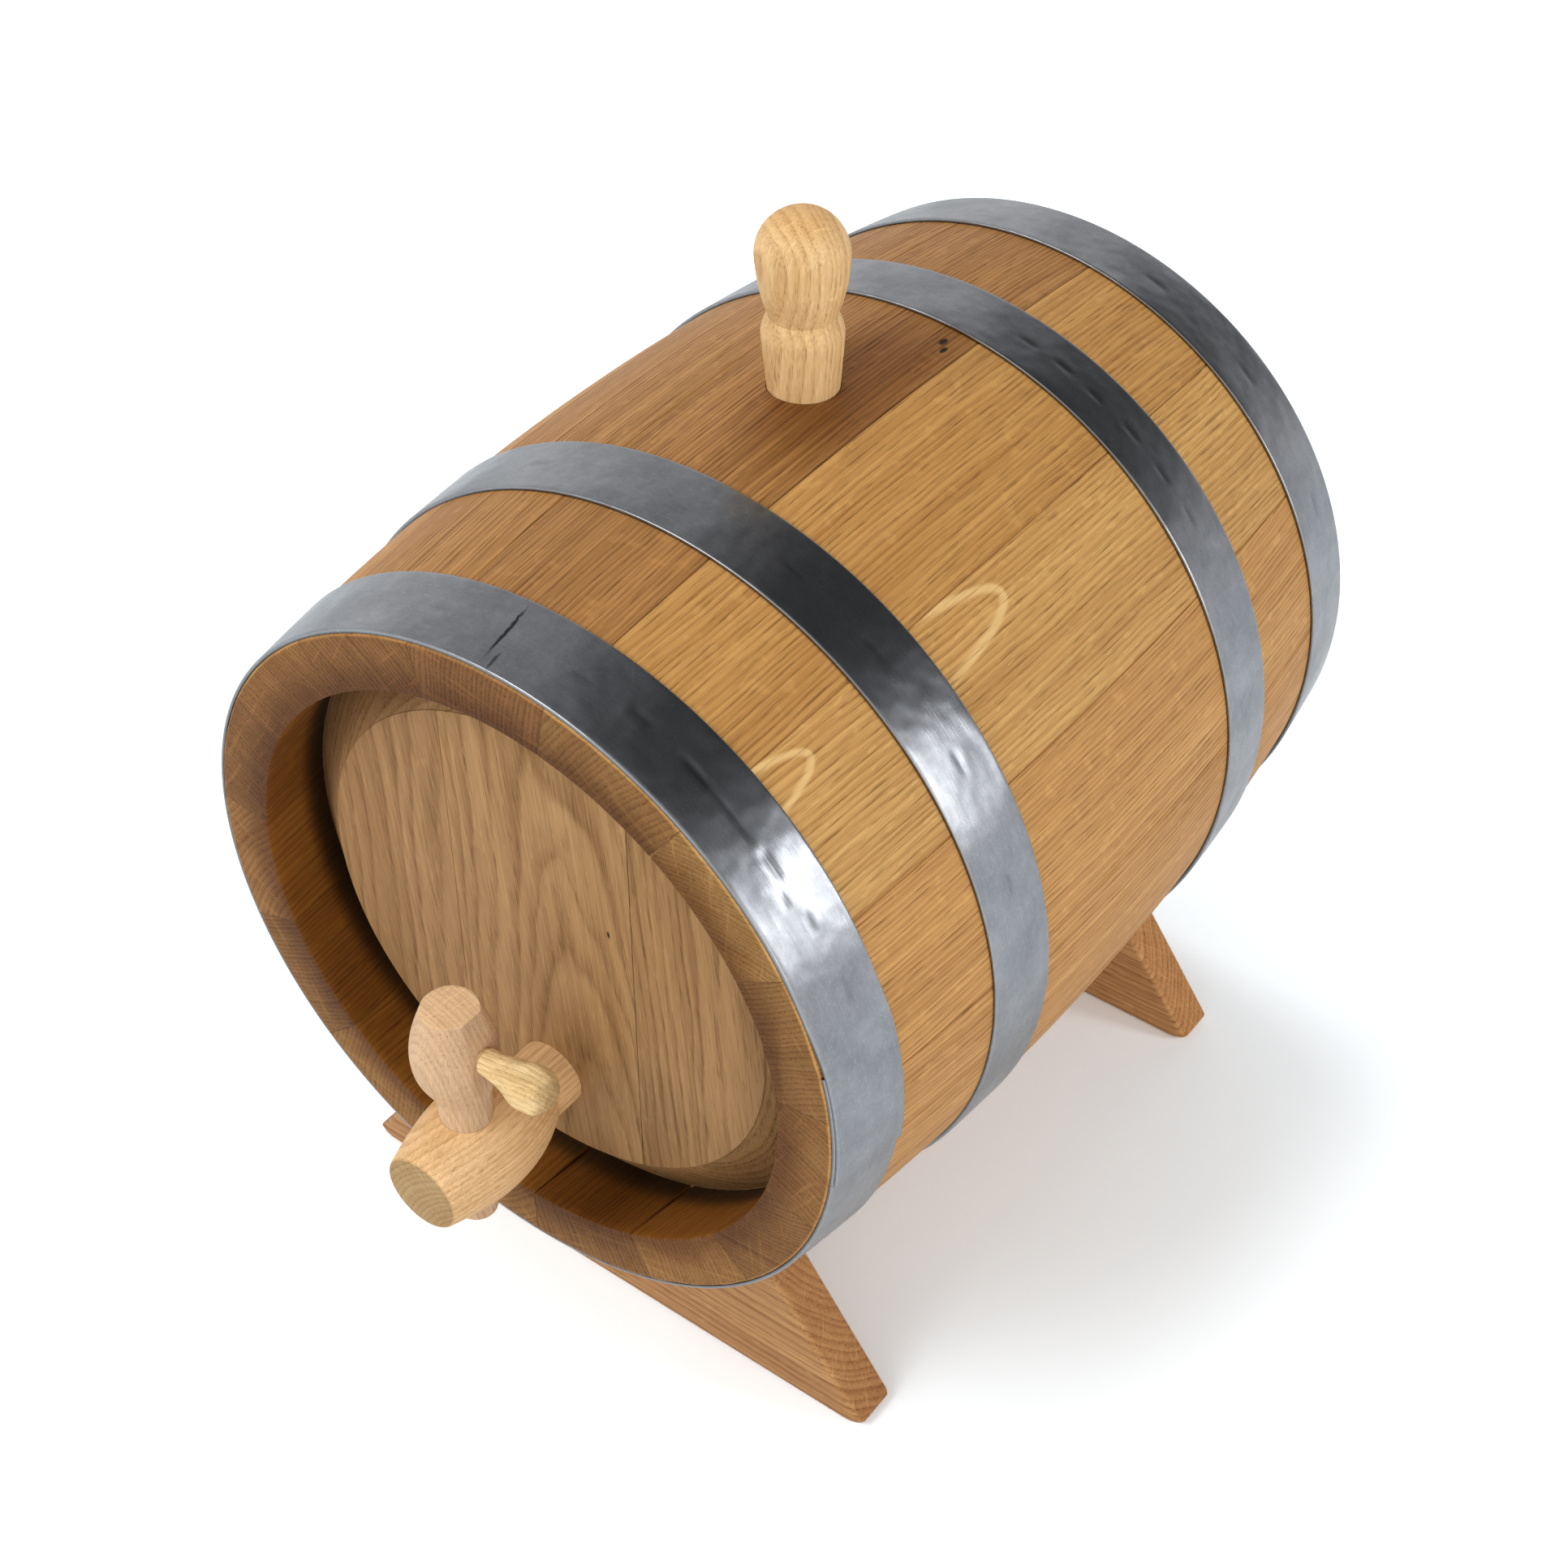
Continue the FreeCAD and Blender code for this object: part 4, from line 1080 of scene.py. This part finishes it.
# -------- floor, light and camera
FLOOR_RINGS = (0.5, 1.0, 2.0, 4.0, 8.0, 14.0)  # radii in metres
FLOOR_SEGMENTS = 64
FLOOR_LIT = (0.72, 0.72, 0.72)  # the floor as it lights the object
FLOOR_SEEN = (1.26, 1.34, 1.39)  # and as the camera sees it near the object
FLOOR_MIRRORED = 0.60  # share of that which the steel mirrors
FLOOR_FADE = (1.3, 3.0)  # metres from the middle over which it turns white
WHITE = (1.0, 1.0, 1.0)


def floor():
    """Large pale disc that keeps the shadow and turns plain white far from the object."""
    points, faces = [(0.0, 0.0, 0.0)], []
    for r in FLOOR_RINGS:
        for s in range(FLOOR_SEGMENTS):
            a = 2 * math.pi * s / FLOOR_SEGMENTS
            points.append((r * math.cos(a), r * math.sin(a), 0.0))
    for s in range(FLOOR_SEGMENTS):
        after = (s + 1) % FLOOR_SEGMENTS
        faces.append((0, 1 + s, 1 + after))
        for k in range(len(FLOOR_RINGS) - 1):
            a, b = 1 + k * FLOOR_SEGMENTS, 1 + (k + 1) * FLOOR_SEGMENTS
            faces.append((a + s, b + s, b + after, a + after))
    mesh = bpy.data.meshes.new("floor")
    mesh.from_pydata(points, [], faces)
    g = Graph(bpy.data.materials.new("pale_floor"))
    path = g.node("LightPath").outputs
    seen = g.math("MAXIMUM", path["Is Camera Ray"], g.mul(path["Is Glossy Ray"], FLOOR_MIRRORED))
    seen = g.math("MAXIMUM", seen, path["Is Transmission Ray"])
    away = g.vector("LENGTH", g.coordinates("Object"))
    near = g.mix(seen, FLOOR_LIT, FLOOR_SEEN)
    colour = g.mix(g.mul(seen, g.span(away, *FLOOR_FADE)), near, (0.0, 0.0, 0.0))
    glow = g.mul(seen, g.span(away, *FLOOR_FADE, 0.03, 1.0))
    mesh.materials.append(g.surface(
        colour, 0.9, Specular_IOR_Level=0.0, Emission_Color=WHITE, Emission_Strength=glow))
    piece = bpy.data.objects.new("floor", mesh)
    bpy.context.scene.collection.objects.link(piece)


DARK_CEILING = Vector((0.35, 0.62, 0.70)).normalized()  # the way to the middle of the dark part


def world():
    """Pale studio with a dark part of the ceiling behind the object, plain white to the camera."""
    studio = bpy.data.worlds.new("studio")
    bpy.context.scene.world = studio
    g = Graph(studio)
    way = g.coordinates("Generated")
    pale = g.ramp(g.split(way)[2], [(0.0, 1.0), (0.30, 0.95), (0.62, 0.66), (1.0, 0.45)])
    toward = g.vector("DOT_PRODUCT", way, tuple(DARK_CEILING))
    dark = g.ramp(toward, [(0.0, 1.0), (0.74, 0.92), (0.89, 0.16), (1.0, 0.08)])
    path = g.node("LightPath").outputs
    seen = g.math("MAXIMUM", path["Is Camera Ray"], path["Is Transmission Ray"])
    colour = g.mix(seen, g.mix(1.0, pale, dark, "MULTIPLY"), WHITE)
    g.end(g.result("Background", 0, {"Color": colour, "Strength": 1.0}), "OutputWorld")


LAMPS = (
    # name, place, target, size, watts, shows in reflections
    ("front_left", (-0.7, -1.5, 1.5), (0.0, -0.05, 0.18), (1.0, 1.0), 17.0, True),
    ("overhead", (-0.55, 0.30, 2.0), (0.0, 0.0, 0.15), (0.7, 0.7), 10.5, False),
    ("right_front", (1.7, -0.7, 0.75), (0.0, 0.0, 0.15), (0.9, 0.9), 8.5, True),
    ("right_window", (1.80, 0.74, 0.92), (0.0, 0.0, 0.2), (0.42, 0.9), 9.0, True),
)


def lamp(name, place, target, size, watts, mirrored):
    data = bpy.data.lights.new(name, "AREA")
    data.shape = "RECTANGLE"
    data.size, data.size_y = size
    data.energy = watts
    made = bpy.data.objects.new(name, data)
    bpy.context.scene.collection.objects.link(made)
    made.location = place
    made.visible_glossy = mirrored
    direction = Vector(target) - Vector(place)
    made.rotation_euler = direction.to_track_quat("-Z", "Y").to_euler()


CAMERA_PLACE = Vector((0.4001, -0.5334, 0.7720))
CAMERA_AZIMUTH = math.radians(36.2888)
CAMERA_ELEVATION = math.radians(41.8538)
CAMERA_ROLL = math.radians(0.1698)
CAMERA_LENS = 58.31
CAMERA_SENSOR = 36.0


def camera():
    data = bpy.data.cameras.new("camera")
    data.lens = CAMERA_LENS
    data.sensor_width = CAMERA_SENSOR
    made = bpy.data.objects.new("camera", data)
    bpy.context.scene.collection.objects.link(made)
    made.matrix_world = (
        Matrix.Translation(CAMERA_PLACE)
        @ Matrix.Rotation(CAMERA_AZIMUTH, 4, "Z")
        @ Matrix.Rotation(math.pi / 2 - CAMERA_ELEVATION, 4, "X")
        @ Matrix.Rotation(CAMERA_ROLL, 4, "Z")
    )
    bpy.context.scene.camera = made


floor()
world()
for row in LAMPS:
    lamp(*row)
camera()
bpy.context.scene.view_settings.view_transform = "Standard"
